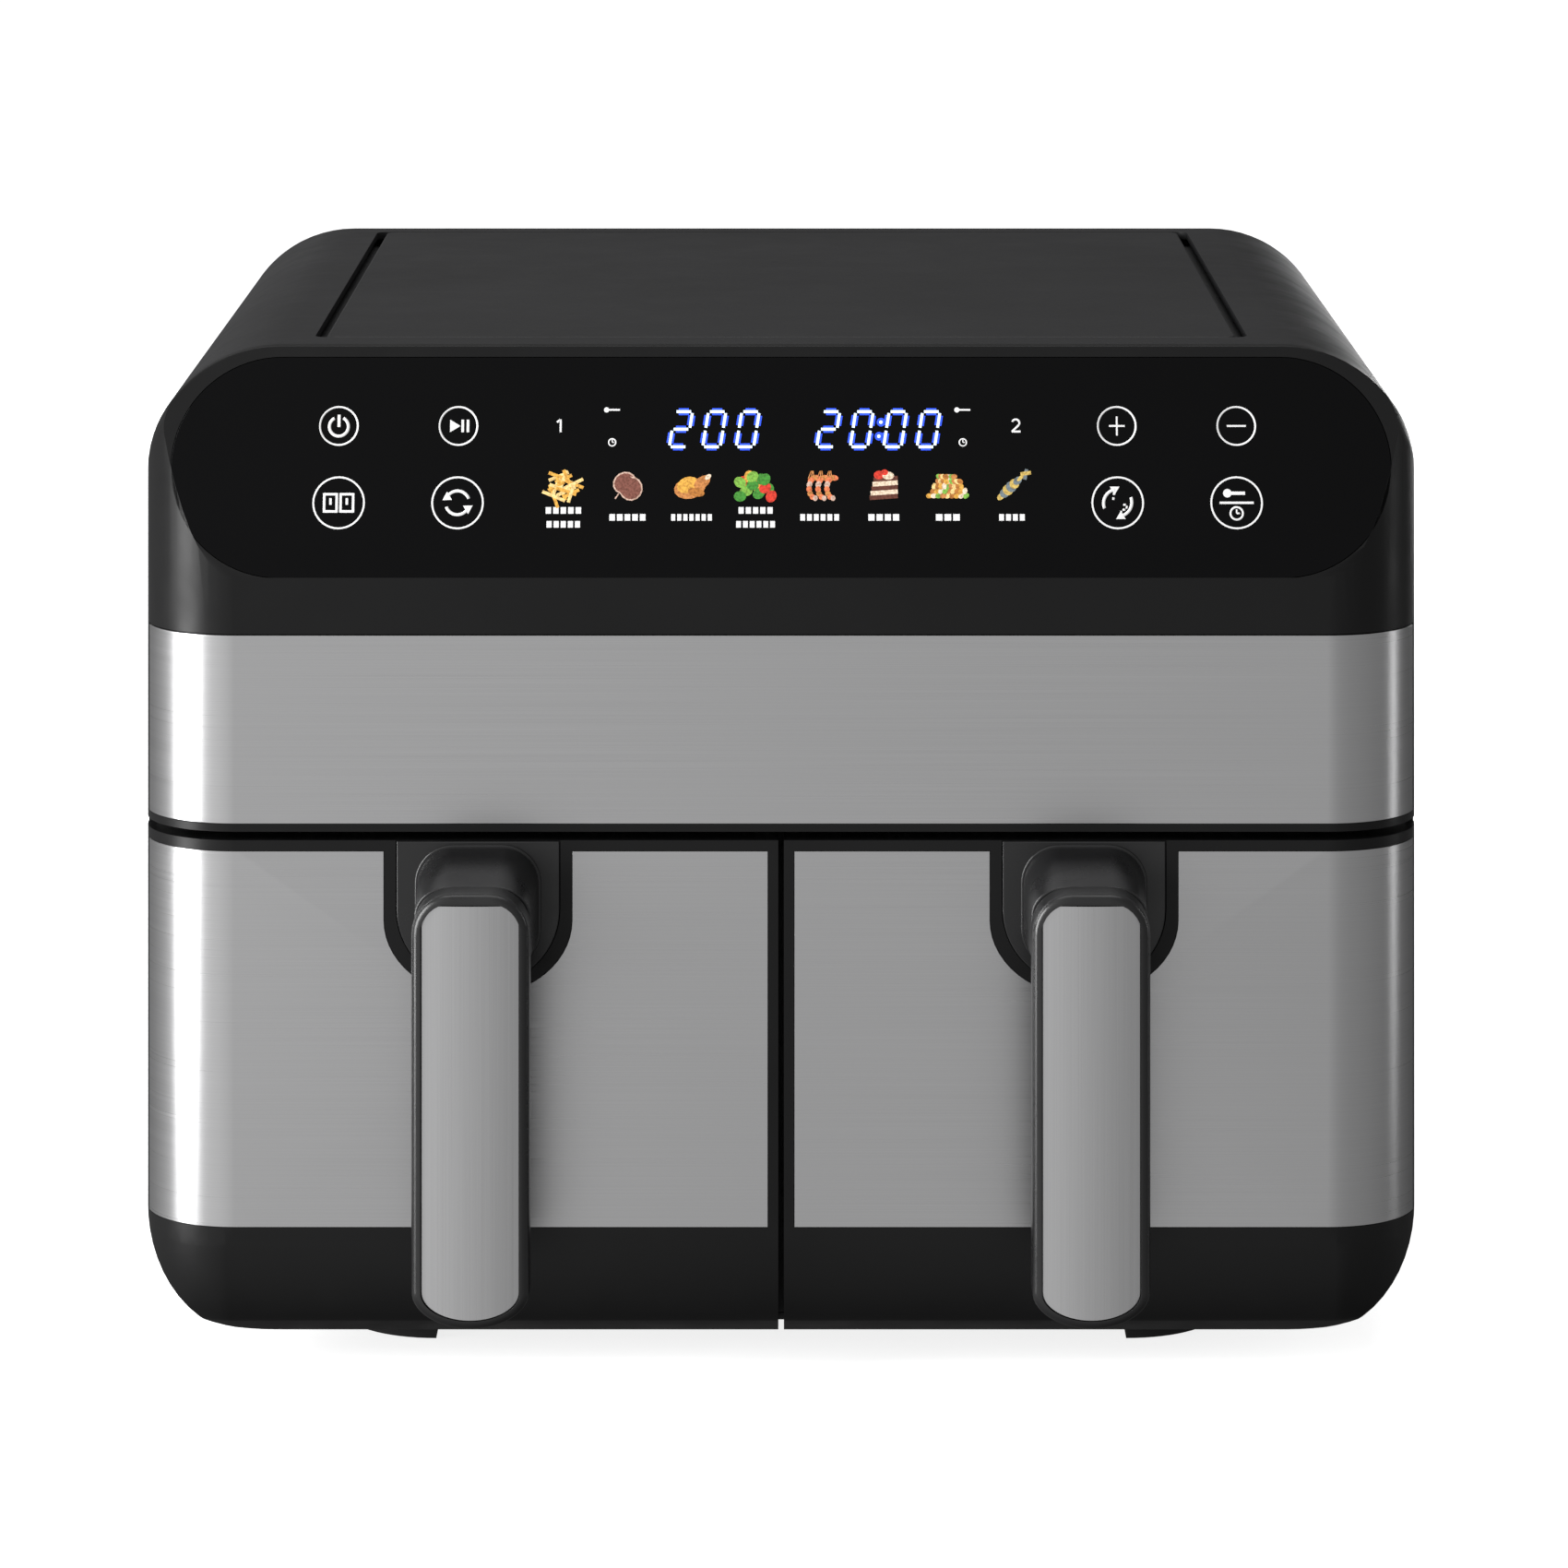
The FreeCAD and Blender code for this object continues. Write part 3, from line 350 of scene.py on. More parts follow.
@dataclass
class Finishes:
    """Every finish of the fryer, made once."""

    casing: bpy.types.Material = field(init=False)
    head: bpy.types.Material = field(init=False)
    lid: bpy.types.Material = field(init=False)
    front: bpy.types.Material = field(init=False)
    handle: bpy.types.Material = field(init=False)
    steel: bpy.types.Material = field(init=False)
    handle_steel: bpy.types.Material = field(init=False)
    glass: bpy.types.Material = field(init=False)
    white: bpy.types.Material = field(init=False)
    digit: bpy.types.Material = field(init=False)
    halo: bpy.types.Material = field(init=False)
    food: bpy.types.Material = field(init=False)
    by_slot: dict[str, bpy.types.Material] = field(init=False)

    def __post_init__(self) -> None:
        """Makes the materials."""
        self.casing = MouldedPlastic("casing_plastic", (0.017, 0.017, 0.018), 0.45, specular=0.32).make()
        self.head = MouldedPlastic("head_plastic", (0.005, 0.005, 0.0052), 0.40, 3400.0, 0.00001, 0.27).make()
        self.lid = MouldedPlastic("lid_plastic", (0.017, 0.017, 0.018), 0.43, specular=0.32).make()
        self.front = MouldedPlastic("drawer_plastic", (0.004, 0.004, 0.0042), 0.42, 3400.0, 0.00001,
                                    0.3).make()
        self.handle = MouldedPlastic("handle_plastic", (0.012, 0.012, 0.0125), 0.30, 3000.0, 0.00001,
                                     0.55).make()
        self.steel = BrushedSteel("brushed_steel_level", Brushing.LEVEL).make()
        self.handle_steel = BrushedSteel("brushed_steel_upright", Brushing.UPRIGHT).make()
        self.glass = BlackGlass().make()
        self.white = LitPrint("white_symbols", (0.80, 0.80, 0.80), 0.35).make()
        self.digit = LitPrint("digit_core", (0.66, 0.80, 1.0), 1.0).make()
        self.halo = LitPrint("digit_halo", (0.02, 0.07, 0.75), 1.0).make()
        self.food = FoodPrint().make()
        inner = MouldedPlastic("inner_plastic", (0.02, 0.02, 0.021), 0.5).make()
        rubber = MouldedPlastic("soft_rubber", (0.012, 0.012, 0.012), 0.7, 1500.0, 0.00004, 0.3).make()
        liner = SheetMetal("aluminised_sheet", (0.55, 0.55, 0.55), 1.0, 0.38).make()
        heater = SheetMetal("heater_tube", (0.20, 0.17, 0.15), 1.0, 0.4, 160.0).make()
        board = MouldedPlastic("circuit_board", (0.01, 0.09, 0.03), 0.35).make()
        screw = SheetMetal("plated_screw", (0.55, 0.55, 0.56), 1.0, 0.25, 400.0).make()
        self.by_slot = {
            "casing_plastic": self.casing, "head_plastic": self.head, "lid_plastic": self.lid,
            "brushed_steel": self.steel, "handle_steel": self.handle_steel, "panel_glass": self.glass,
            "handle_plastic": self.handle, "inner_plastic": inner, "liner_sheet": liner,
            "pan_coating": SheetMetal("non_stick_pan", (0.035, 0.035, 0.037), 0.2, 0.4, 500.0, 0.3).make(),
            "silicone": rubber, "foot_rubber": rubber, "heater_tube": heater,
            "wheel_metal": SheetMetal("pressed_wheel", (0.6, 0.6, 0.6), 1.0, 0.3).make(),
            "motor_case": SheetMetal("motor_case", (0.3, 0.3, 0.31), 1.0, 0.35).make(),
            "board_green": board, "display_plastic": self.digit, "screw_steel": screw,
        }


# ---------------------------------------------------------------- shaping
def arc_corner(u: float, v: float, before: Point, after: Point, radius: float, steps: int) -> list[Point]:
    """Points of one rounded corner.

    Args:
        u, v: the sharp corner.
        before, after: the neighbouring corners.
        radius: the rounding.
        steps: facets in the arc.

    Returns:
        Points from the first tangent to the last.
    """
    if radius <= 0:
        return [(u, v)]
    here = Vector((u, v))
    back = (Vector(before) - here).normalized()
    ahead = (Vector(after) - here).normalized()
    half = back.angle(ahead) / 2
    centre = here + (back + ahead).normalized() * (radius / math.sin(half))
    start = here + back * (radius / math.tan(half)) - centre
    end = here + ahead * (radius / math.tan(half)) - centre
    sweep = start.angle_signed(end)
    points = [centre + Matrix.Rotation(-sweep * i / steps, 2) @ start for i in range(steps + 1)]
    return [(p.x, p.y) for p in points]


def rounded(corners: list[tuple[float, float, float]], steps: int = 12) -> list[Point]:
    """Outline through (u, v, radius) corners, each rounded by its radius.

    Args:
        corners: the sharp corners with their radii.
        steps: facets in each arc.

    Returns:
        The outline's points.
    """
    points: list[Point] = []
    count = len(corners)
    for i, (u, v, radius) in enumerate(corners):
        before = corners[i - 1][:2]
        after = corners[(i + 1) % count][:2]
        points += arc_corner(u, v, before, after, radius, steps)
    return points


def rectangle(u0: float, u1: float, v0: float, v1: float, radii: tuple[float, float, float, float],
              steps: int = 12) -> list[Point]:
    """Rounded rectangle, radii from the low-low corner anticlockwise."""
    return rounded([(u0, v0, radii[0]), (u1, v0, radii[1]), (u1, v1, radii[2]), (u0, v1, radii[3])], steps)


def half_oval(centre: float, half: float, top: float, straight: float, drop: float, crown: float = 0.0,
              steps: int = 28) -> list[Point]:
    """Outline with a half-elliptical bottom and a flat or round-cornered top, anticlockwise.

    Args:
        centre: middle across.
        half: half the width.
        top: height of the top.
        straight: length of the straight sides, with the top's corners.
        drop: height of the bottom's half ellipse.
        crown: rounding of the top's corners.
        steps: facets in the half ellipse.

    Returns:
        The outline's points.
    """
    low = top - straight
    points = [(centre + half * math.cos(a), low + drop * math.sin(a))
              for a in (math.pi + math.pi * i / steps for i in range(steps + 1))]
    right = arc_corner(centre + half, top, (centre + half, low), (centre - half, top), crown, 8)
    left = arc_corner(centre - half, top, (centre + half, top), (centre - half, low), crown, 8)
    return points + right + left


@dataclass
class Sheet:
    """A flat drawing plane: where its (0, 0) is and which way across and up run."""

    origin: Vector
    across: Vector
    up: Vector

    def place(self, u: float, v: float, out: float = 0.0) -> Vector:
        """Point of the plane in space, moved out along its normal."""
        return self.origin + self.across * u + self.up * v + self.normal * out

    @property
    def normal(self) -> Vector:
        """Outward normal of the plane."""
        return self.across.cross(self.up)

    @property
    def matrix(self) -> Matrix:
        """Matrix that carries a flat drawing onto the plane."""
        turn = Matrix((self.across, self.up, self.normal)).transposed().to_4x4()
        return Matrix.Translation(self.origin) @ turn

    def cuts(self, points: list[Point]) -> list[Plane]:
        """Cutting planes along each edge of a convex anticlockwise outline, as (point, outward normal).

        Args:
            points: the outline.

        Returns:
            One plane for each edge.
        """
        planes = []
        for (u0, v0), (u1, v1) in zip(points, points[1:] + points[:1]):
            if math.hypot(u1 - u0, v1 - v0) < SLIT:
                continue
            out = self.across * (v1 - v0) - self.up * (u1 - u0)
            planes.append((self.place(u0, v0), out.normalized()))
        return planes


FRONT_SHEET = Sheet(Vector(), RIGHT, UP)
PLAN_SHEET = Sheet(Vector(), RIGHT, BACK)


def plane(facing: Vector, reach: float) -> Plane:
    """Cutting plane square to an axis, at a signed distance along it."""
    return facing * reach, facing


def block(low: Iterable[float], high: Iterable[float]) -> bmesh.types.BMesh:
    """Box mesh between two corners.

    Args:
        low: lower corner.
        high: upper corner.

    Returns:
        The box.
    """
    lo, hi = Vector(low), Vector(high)
    mesh = bmesh.new()
    size = Matrix.Diagonal((*(hi - lo), 1))
    bmesh.ops.create_cube(mesh, size=1.0, matrix=Matrix.Translation((lo + hi) / 2) @ size)
    return mesh


def shave(mesh: bmesh.types.BMesh, planes: Iterable[Plane]) -> bmesh.types.BMesh:
    """Cuts a convex solid by planes and closes each cut.

    Args:
        mesh: the solid.
        planes: (point, outward normal) pairs.

    Returns:
        The same mesh.
    """
    for point, normal in planes:
        if all((v.co - point).dot(normal) < WELD for v in mesh.verts):
            continue
        geometry = mesh.verts[:] + mesh.edges[:] + mesh.faces[:]
        cut = bmesh.ops.bisect_plane(mesh, geom=geometry, dist=SLIT, plane_co=point, plane_no=normal,
                                     clear_outer=True)
        rim = [e for e in cut["geom_cut"] if isinstance(e, bmesh.types.BMEdge) and e.is_boundary]
        bmesh.ops.edgeloop_fill(mesh, edges=rim)
    bmesh.ops.recalc_face_normals(mesh, faces=mesh.faces[:])
    return mesh


def knife(mesh: bmesh.types.BMesh, faces: Iterable[bmesh.types.BMFace],
          planes: Iterable[Plane]) -> list[bmesh.types.BMFace]:
    """Scores an outline into some faces.

    Args:
        mesh: the surface.
        faces: the faces to score.
        planes: the outline's cutting planes.

    Returns:
        The faces inside the outline.
    """
    inside = list(faces)
    for point, normal in planes:
        edges = {e for f in inside for e in f.edges}
        verts = {v for f in inside for v in f.verts}
        geometry = list(verts) + list(edges) + inside
        cut = bmesh.ops.bisect_plane(mesh, geom=geometry, dist=SLIT, plane_co=point, plane_no=normal)
        found = [f for f in cut["geom"] if isinstance(f, bmesh.types.BMFace)]
        inside = [f for f in found if (f.calc_center_median() - point).dot(normal) < 0]
    return inside


def clear(mesh: bmesh.types.BMesh, faces: list[bmesh.types.BMFace]) -> None:
    """Deletes the listed faces."""
    bmesh.ops.delete(mesh, geom=faces, context="FACES")


def drop(mesh: bmesh.types.BMesh, test: Callable[[bmesh.types.BMFace], bool]) -> None:
    """Deletes the faces that pass a test."""
    clear(mesh, [f for f in mesh.faces if test(f)])


def add_to(whole: bmesh.types.BMesh, part: bmesh.types.BMesh) -> None:
    """Copies a mesh into another and frees it.

    Args:
        whole: the mesh that grows.
        part: the mesh to add, used up here.
    """
    data = bpy.data.meshes.new("part")
    part.to_mesh(data)
    part.free()
    whole.from_mesh(data)
    bpy.data.meshes.remove(data)


def ahead(faces: Iterable[bmesh.types.BMFace]) -> list[bmesh.types.BMFace]:
    """The faces that look straight to the front."""
    return [face for face in faces if face.normal.y < -FLAT]


def merge_flats(mesh: bmesh.types.BMesh) -> None:
    """Joins faces that lie in one plane."""
    bmesh.ops.dissolve_limit(mesh, angle_limit=math.radians(0.05), verts=mesh.verts[:], edges=mesh.edges[:])


def soften(mesh: bmesh.types.BMesh, edges: list[bmesh.types.BMEdge], width: float, steps: int) -> None:
    """Rounds edges with a bevel."""
    bmesh.ops.bevel(mesh, geom=edges, offset=width, offset_type="OFFSET", segments=steps, profile=0.5,
                    affect="EDGES", material=-1, clamp_overlap=True)


def mirrored(mesh: bmesh.types.BMesh, side: Side) -> bmesh.types.BMesh:
    """Turns a right-hand mesh into the left-hand one when the side asks for it.

    Args:
        mesh: the right-hand mesh.
        side: the side that it is for.

    Returns:
        The same mesh.
    """
    if side is Side.LEFT:
        bmesh.ops.transform(mesh, matrix=Matrix.Diagonal((-1, 1, 1, 1)), verts=mesh.verts[:])
        bmesh.ops.reverse_faces(mesh, faces=mesh.faces[:])
    return mesh


@dataclass
class Maker:
    """Turns meshes into finished pieces that ride on a body."""

    finishes: Finishes
    slots: dict[str, str] = field(default_factory=dict)

    def __post_init__(self) -> None:
        """Reads each node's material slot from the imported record."""
        self.slots = {part["node"]: part["material_slot"] for part in frame["record"]["subparts"]}

    def piece(self, name: str, mesh: bmesh.types.BMesh, body: str, material: bpy.types.Material,
              nodes: Iterable[str] = (), wall: float = 0.0, edge: float = 0.0, slot: Optional[str] = None,
              even: bool = True) -> bpy.types.Object:
        """Finishes one piece.

        Args:
            name: the piece's name.
            mesh: its shape, used up here.
            body: the body that it rides on.
            material: its finish.
            nodes: nodes that it stands for.
            wall: thickness given to an open surface, inwards.
            edge: rounding of its sharp edges.
            slot: not used.
            even: keep the wall even at corners.

        Returns:
            The piece.
        """
        for face in mesh.faces:
            face.smooth = True
        for e in mesh.edges:
            e.smooth = len(e.link_faces) != 2 or e.calc_face_angle(0.0) < SHARP
        data = bpy.data.meshes.new(name)
        mesh.to_mesh(data)
        mesh.free()
        data.materials.append(material)
        shown = bpy.data.objects.new(name, data)
        bpy.context.scene.collection.objects.link(shown)
        if wall:
            shell = shown.modifiers.new("wall", "SOLIDIFY")
            shell.thickness = wall
            shell.offset = -1.0
            shell.use_even_offset = even
        if edge:
            rim = shown.modifiers.new("edge", "BEVEL")
            rim.width = edge
            rim.segments = 3
            rim.limit_method = "ANGLE"
            rim.angle_limit = SHARP
            rim.use_clamp_overlap = True
        normals = shown.modifiers.new("normals", "WEIGHTED_NORMAL")
        normals.keep_sharp = True
        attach(shown, body)
        names = list(nodes)
        if names:
            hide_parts(*names)
        LOG.info("%s: %d faces on %s", name, len(data.polygons), body)
        return shown

    def adopt(self, node: str, body: str) -> bpy.types.Object:
        """Carries a node over with merged points, smooth rounds and crisp edges.

        Args:
            node: the node's name.
            body: the body that it rides on.

        Returns:
            The piece.
        """
        mesh = bmesh.new()
        mesh.from_mesh(frame["nodes"][node].data)
        bmesh.ops.remove_doubles(mesh, verts=mesh.verts[:], dist=WELD)
        merge_flats(mesh)
        return self.piece(node + "_made", mesh, body, self.finishes.by_slot[self.slots[node]], [node])


# ---------------------------------------------------------------- casing
@dataclass
class CasingForm:
    """The outer form: front outline crossed with the plan outline, read off the frame."""

    corner_top: float = 41.3 * MM
    corner_bottom: float = 39.7 * MM
    corner_plan: float = 29.0 * MM
    tilt: float = math.radians(14.0)
    sill: float = 17.5 * MM
    blend: float = 12.0 * MM
    blend_stations: int = 15
    blend_facets: int = 6
    blend_least: float = 0.05
    steps: int = 16

    def __post_init__(self) -> None:
        """Reads the main planes from the nodes' boxes."""
        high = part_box("outer_housing")[1]
        self.half = high.x
        self.top = high.z
        self.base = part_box("base_tray")[0].z
        self.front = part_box("steel_band")[0].y
        self.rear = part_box("rear_cover")[1].y
        self.shell_rear = high.y
        self.head_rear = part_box("front_fascia")[1].y
        self.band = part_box("steel_band")[0].z
        self.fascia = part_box("steel_band")[1].z
        self.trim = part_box("band_frame")[0].z
        self.case_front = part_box("base_tray")[0].y
        self.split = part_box("base_tray")[1].z

    def panel(self, depth: float = 0.0) -> Sheet:
        """The tilted control panel's plane, moved in by depth.

        Args:
            depth: distance in from the panel's face.

        Returns:
            The plane, its (0, 0) at the middle of the panel's foot.
        """
        up = Vector((0, math.sin(self.tilt), math.cos(self.tilt)))
        inward = Vector((0, math.cos(self.tilt), -math.sin(self.tilt)))
        foot = Vector((0, self.front, self.fascia + self.sill))
        return Sheet(foot + inward * depth, RIGHT, up)

    def solid(self, y0: float, y1: float, z0: float, z1: float) -> bmesh.types.BMesh:
        """Slice of the form between two depths and two heights.

        Args:
            y0, y1: front and back of the slice.
            z0, z1: its bottom and top.

        Returns:
            The slice.
        """
        mesh = block((-self.half, y0, z0), (self.half, y1, z1))
        corners = (self.corner_bottom, self.corner_bottom, self.corner_top, self.corner_top)
        front = rectangle(-self.half, self.half, self.base, self.top, corners, self.steps)
        plan = rectangle(-self.half, self.half, self.front, self.rear + self.half,
                         (self.corner_plan, self.corner_plan, 0, 0), self.steps)
        shave(shave(mesh, FRONT_SHEET.cuts(front)), PLAN_SHEET.cuts(plan))
        return shave(mesh, self.blend_cuts())

    def blend_cuts(self) -> list[Plane]:
        """Planes tangent to a ball rolled along the crease where the front and plan outlines meet.

        Returns:
            The planes, for all four ends of the crease.
        """
        planes = []
        reach = self.corner_plan - self.blend
        plan_x, plan_y = self.half - self.corner_plan, self.front + self.corner_plan
        for radius, pole, up in ((self.corner_top, self.top, 1), (self.corner_bottom, self.base, -1)):
            for i in range(1, self.blend_stations):
                turn = math.pi / 2 * i / self.blend_stations
                x = self.half - radius + (radius - self.blend) * math.sin(turn)
                z = pole - up * radius + up * (radius - self.blend) * math.cos(turn)
                slide = min(max((x - plan_x) / reach, 0.0), 1.0)
                face = Vector((slide, -math.sqrt(1 - slide * slide), 0))
                rim = Vector((math.sin(turn), 0, up * math.cos(turn)))
                crease = Vector((x, plan_y + face.y * reach, z))
                if rim.angle(face) < self.blend_least:
                    continue
                for k in range(1, self.blend_facets):
                    normal = rim.slerp(face, k / self.blend_facets)
                    for sign in (-1, 1):
                        flip = Matrix.Diagonal((sign, 1, 1))
                        planes.append((flip @ (crease + normal * self.blend), flip @ normal))
        return planes


@dataclass
class Casing:
    """Housing, tray, lid, rear cover, feet and everything fixed inside."""

    form: CasingForm
    maker: Maker
    wall: float = 2.5 * MM
    lid_slot: float = 3.5 * MM
    lid_gap: float = 0.6 * MM
    lid_corner: float = 4.0 * MM
    lid_edge: float = 0.7 * MM
    lid_steps: int = 6
    seat_depth: float = 2.6 * MM
    seat_sheet: float = 1.5 * MM
    seat_margin: float = 4.0 * MM
    seat_edge: float = 0.3 * MM
    housing_edge: float = 0.5 * MM
    tray_edge: float = 0.4 * MM
    foot_radius: float = 34.0 * MM
    foot_taper: float = 3.0 * MM
    foot_flange: float = 4.0 * MM
    foot_ease: float = 1.0 * MM

    def shell(self) -> None:
        """Outer housing with the lid's opening, and the base tray under the split line."""
        f = self.form
        drawer_bay = (plane(BACK, f.case_front), plane(UP, f.trim))
        for name, z0, z1, edge in (("outer_housing", f.split, f.top, self.housing_edge),
                                   ("base_tray", f.base, f.split, self.tray_edge)):
            mesh = f.solid(f.head_rear, f.shell_rear, z0, z1)
            drop(mesh, lambda face: abs(face.normal.y) > MOSTLY)
            drop(mesh, lambda face: abs(face.normal.z) > SQUARE
                 and abs(face.calc_center_median().z - f.split) < NEAR)
            clear(mesh, knife(mesh, mesh.faces[:], drawer_bay))
            if name == "outer_housing":
                self.cut_lid(mesh)
            self.maker.piece(name + "_made", mesh, "casing", self.maker.finishes.casing, [name], self.wall,
                             edge)

    def cut_lid(self, mesh: bmesh.types.BMesh) -> None:
        """Opens the top for the lid.

        Args:
            mesh: the housing.
        """
        low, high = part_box("top_panel")
        outline = rectangle(low.x - self.lid_slot, high.x + self.lid_slot, low.y - self.lid_gap,
                            high.y + self.lid_gap, (self.lid_corner,) * 4, self.lid_steps)
        top = [face for face in mesh.faces if face.normal.z > SQUARE]
        clear(mesh, knife(mesh, top, PLAN_SHEET.cuts(outline)))

    def lid(self) -> None:
        """Flush lid plate and the dark seat under it."""
        low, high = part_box("top_panel")
        plate = block(low, high)
        outline = rectangle(low.x, high.x, low.y, high.y, (self.lid_corner,) * 4, self.lid_steps)
        shave(plate, PLAN_SHEET.cuts(outline))
        self.maker.piece("top_panel_made", plate, "casing", self.maker.finishes.lid, ["top_panel"],
                         edge=self.lid_edge)
        aside, along = self.lid_slot + self.seat_margin, self.seat_margin
        seat = block((low.x - aside, low.y - along, low.z - self.seat_depth - self.seat_sheet),
                     (high.x + aside, high.y + along, low.z - self.seat_depth))
        upright = [e for e in seat.edges if abs(e.verts[0].co.z - e.verts[1].co.z) > WELD]
        soften(seat, upright, self.lid_corner, 4)
        self.maker.piece("lid_seat", seat, "casing", self.maker.finishes.by_slot["inner_plastic"],
                         edge=self.seat_edge, slot="casing_plastic")

    def feet(self) -> None:
        """Half-round feet with a wider flange and a softened tread."""
        for name in ("front_feet", "rear_feet"):
            low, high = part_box(name)
            inner = high.x - self.foot_radius
            pair = bmesh.new()
            for side in Side:
                foot = self.foot(inner, (low.y + high.y) / 2, high.z)
                add_to(pair, mirrored(foot, side))
            self.maker.piece(name + "_made", pair, "casing", self.maker.finishes.by_slot["foot_rubber"],
                             [name])

    def foot(self, x: float, y: float, top: float) -> bmesh.types.BMesh:
        """One right-hand foot: a half round spun from its profile, its flat side inwards.

        Args:
            x, y: the middle of the flat side.
            top: height of the seat.

        Returns:
            The foot.
        """
        mesh = bmesh.new()
        tread = self.foot_radius - self.foot_taper
        step = top - self.foot_flange
        ease = self.foot_ease
        profile = [(0, 0), (tread - ease, 0), (tread - ease * 0.3, ease * 0.3), (tread, ease),
                   (tread, step - ease), (self.foot_radius, step), (self.foot_radius, top), (0, top)]
        verts = [mesh.verts.new((x, y - reach, rise)) for reach, rise in profile]
        edges = [mesh.edges.new(pair) for pair in zip(verts, verts[1:])]
        bmesh.ops.spin(mesh, geom=verts + edges, cent=(x, y, 0), axis=UP, angle=math.pi, steps=32)
        bmesh.ops.remove_doubles(mesh, verts=mesh.verts[:], dist=WELD)
        bmesh.ops.holes_fill(mesh, edges=[e for e in mesh.edges if e.is_boundary])
        bmesh.ops.recalc_face_normals(mesh, faces=mesh.faces[:])
        return mesh

    def carried(self) -> None:
        """Pieces whose shape comes straight from the frame."""
        bodies = frame["record"]["behaviour"]["bodies"]
        remade = {"outer_housing", "base_tray", "top_panel", "front_feet", "rear_feet", "steel_band",
                  "front_fascia", "control_glass"}
        for side in Side:
            remade |= {side.node(n) for n in ("drawer_front", "drawer_steel", "handle_base", "handle_grip",
                                              "handle_insert", "drawer_tub")}
        for body, nodes in bodies.items():
            for node in nodes:
                if node not in remade:
                    self.maker.adopt(node, body)

    def build(self) -> None:
        """Makes the whole casing."""
        self.shell()
        self.lid()
        self.feet()
        self.carried()


# ---------------------------------------------------------------- head
@dataclass
class Head:
    """Steel band, black fascia, control glass and the symbols on it."""

    form: CasingForm
    maker: Maker
    band_sheet: float = 0.8 * MM
    band_edge: float = 0.3 * MM
    wall: float = 2.5 * MM
    lip: float = 3.0 * MM
    fascia_edge: float = 0.35 * MM
    glass_thickness: float = 2.0 * MM
    glass_roundness: float = 0.999
    glass_edge: float = 0.25 * MM
    seam: float = 0.2 * MM
    shadow_gap: float = 0.35 * MM

    def band(self) -> None:
        """Brushed sheet round the front."""
        f = self.form
        low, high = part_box("steel_band")
        mesh = f.solid(f.front, high.y, low.z, high.z)
        drop(mesh, lambda face: abs(face.normal.z) > MOSTLY or face.normal.y > MOSTLY)
        self.maker.piece("steel_band_made", mesh, "casing", self.maker.finishes.steel, ["steel_band"],
                         self.band_sheet, self.band_edge)

    def glass_outline(self, grow: float) -> list[Point]:
        """The stadium outline of the glass on the panel.

        Args:
            grow: room added all round.

        Returns:
            The outline, in the panel's own plane.
        """
        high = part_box("control_glass")[1]
        half = high.x + grow
        foot = -grow
        head = (high.z - self.form.fascia - self.form.sill) / math.cos(self.form.tilt) + grow
        radius = (head - foot) / 2 * self.glass_roundness
        return rectangle(-half, half, foot, head, (radius,) * 4, 20)

    def fascia(self) -> None:
        """Black moulding with its sloping seat and the rounded lip over it."""
        f = self.form
        panel = f.panel()
        mesh = f.solid(f.front, f.head_rear, f.fascia + self.shadow_gap, f.top)
        normal = panel.normal
        shave(mesh, [(panel.origin, normal)])
        crest = []
        for e in mesh.edges:
            if len(e.link_faces) != 2:
                continue
            on_panel = [face for face in e.link_faces if face.normal.dot(normal) > SQUARE]
            others = [face for face in e.link_faces if face.normal.dot(normal) <= SQUARE]
            if on_panel and others and others[0].normal.y > -0.05 and others[0].normal.z > 0.02:
                crest.append(e)
        soften(mesh, crest, self.lip, 5)
        drop(mesh, lambda face: face.normal.y > MOSTLY or face.normal.z < -MOSTLY)
        slope = [face for face in mesh.faces if face.normal.dot(normal) > 0.9995]
        clear(mesh, knife(mesh, slope, panel.cuts(self.glass_outline(self.seam))))
        self.maker.piece("front_fascia_made", mesh, "casing", self.maker.finishes.head, ["front_fascia"],
                         self.wall, self.fascia_edge, even=False)

    def glass(self) -> None:
        """Glass slab lying in the panel, trimmed by the casing's corners."""
        f = self.form
        mesh = f.solid(f.front, f.head_rear, f.fascia, f.top)
        outer, inner = f.panel(), f.panel(self.glass_thickness)
        shave(mesh, [(outer.origin, outer.normal), (inner.origin, -inner.normal)])
        shave(mesh, outer.cuts(self.glass_outline(0.0)))
        self.maker.piece("control_glass_made", mesh, "casing", self.maker.finishes.glass, ["control_glass"],
                         edge=self.glass_edge)

    def build(self) -> None:
        """Makes the whole head."""
        self.band()
        self.fascia()
        self.glass()
        PanelGraphics(self.form.panel(), self.maker).build()


SEGMENTS = {"0": "abcdef", "1": "bc", "2": "abged"}


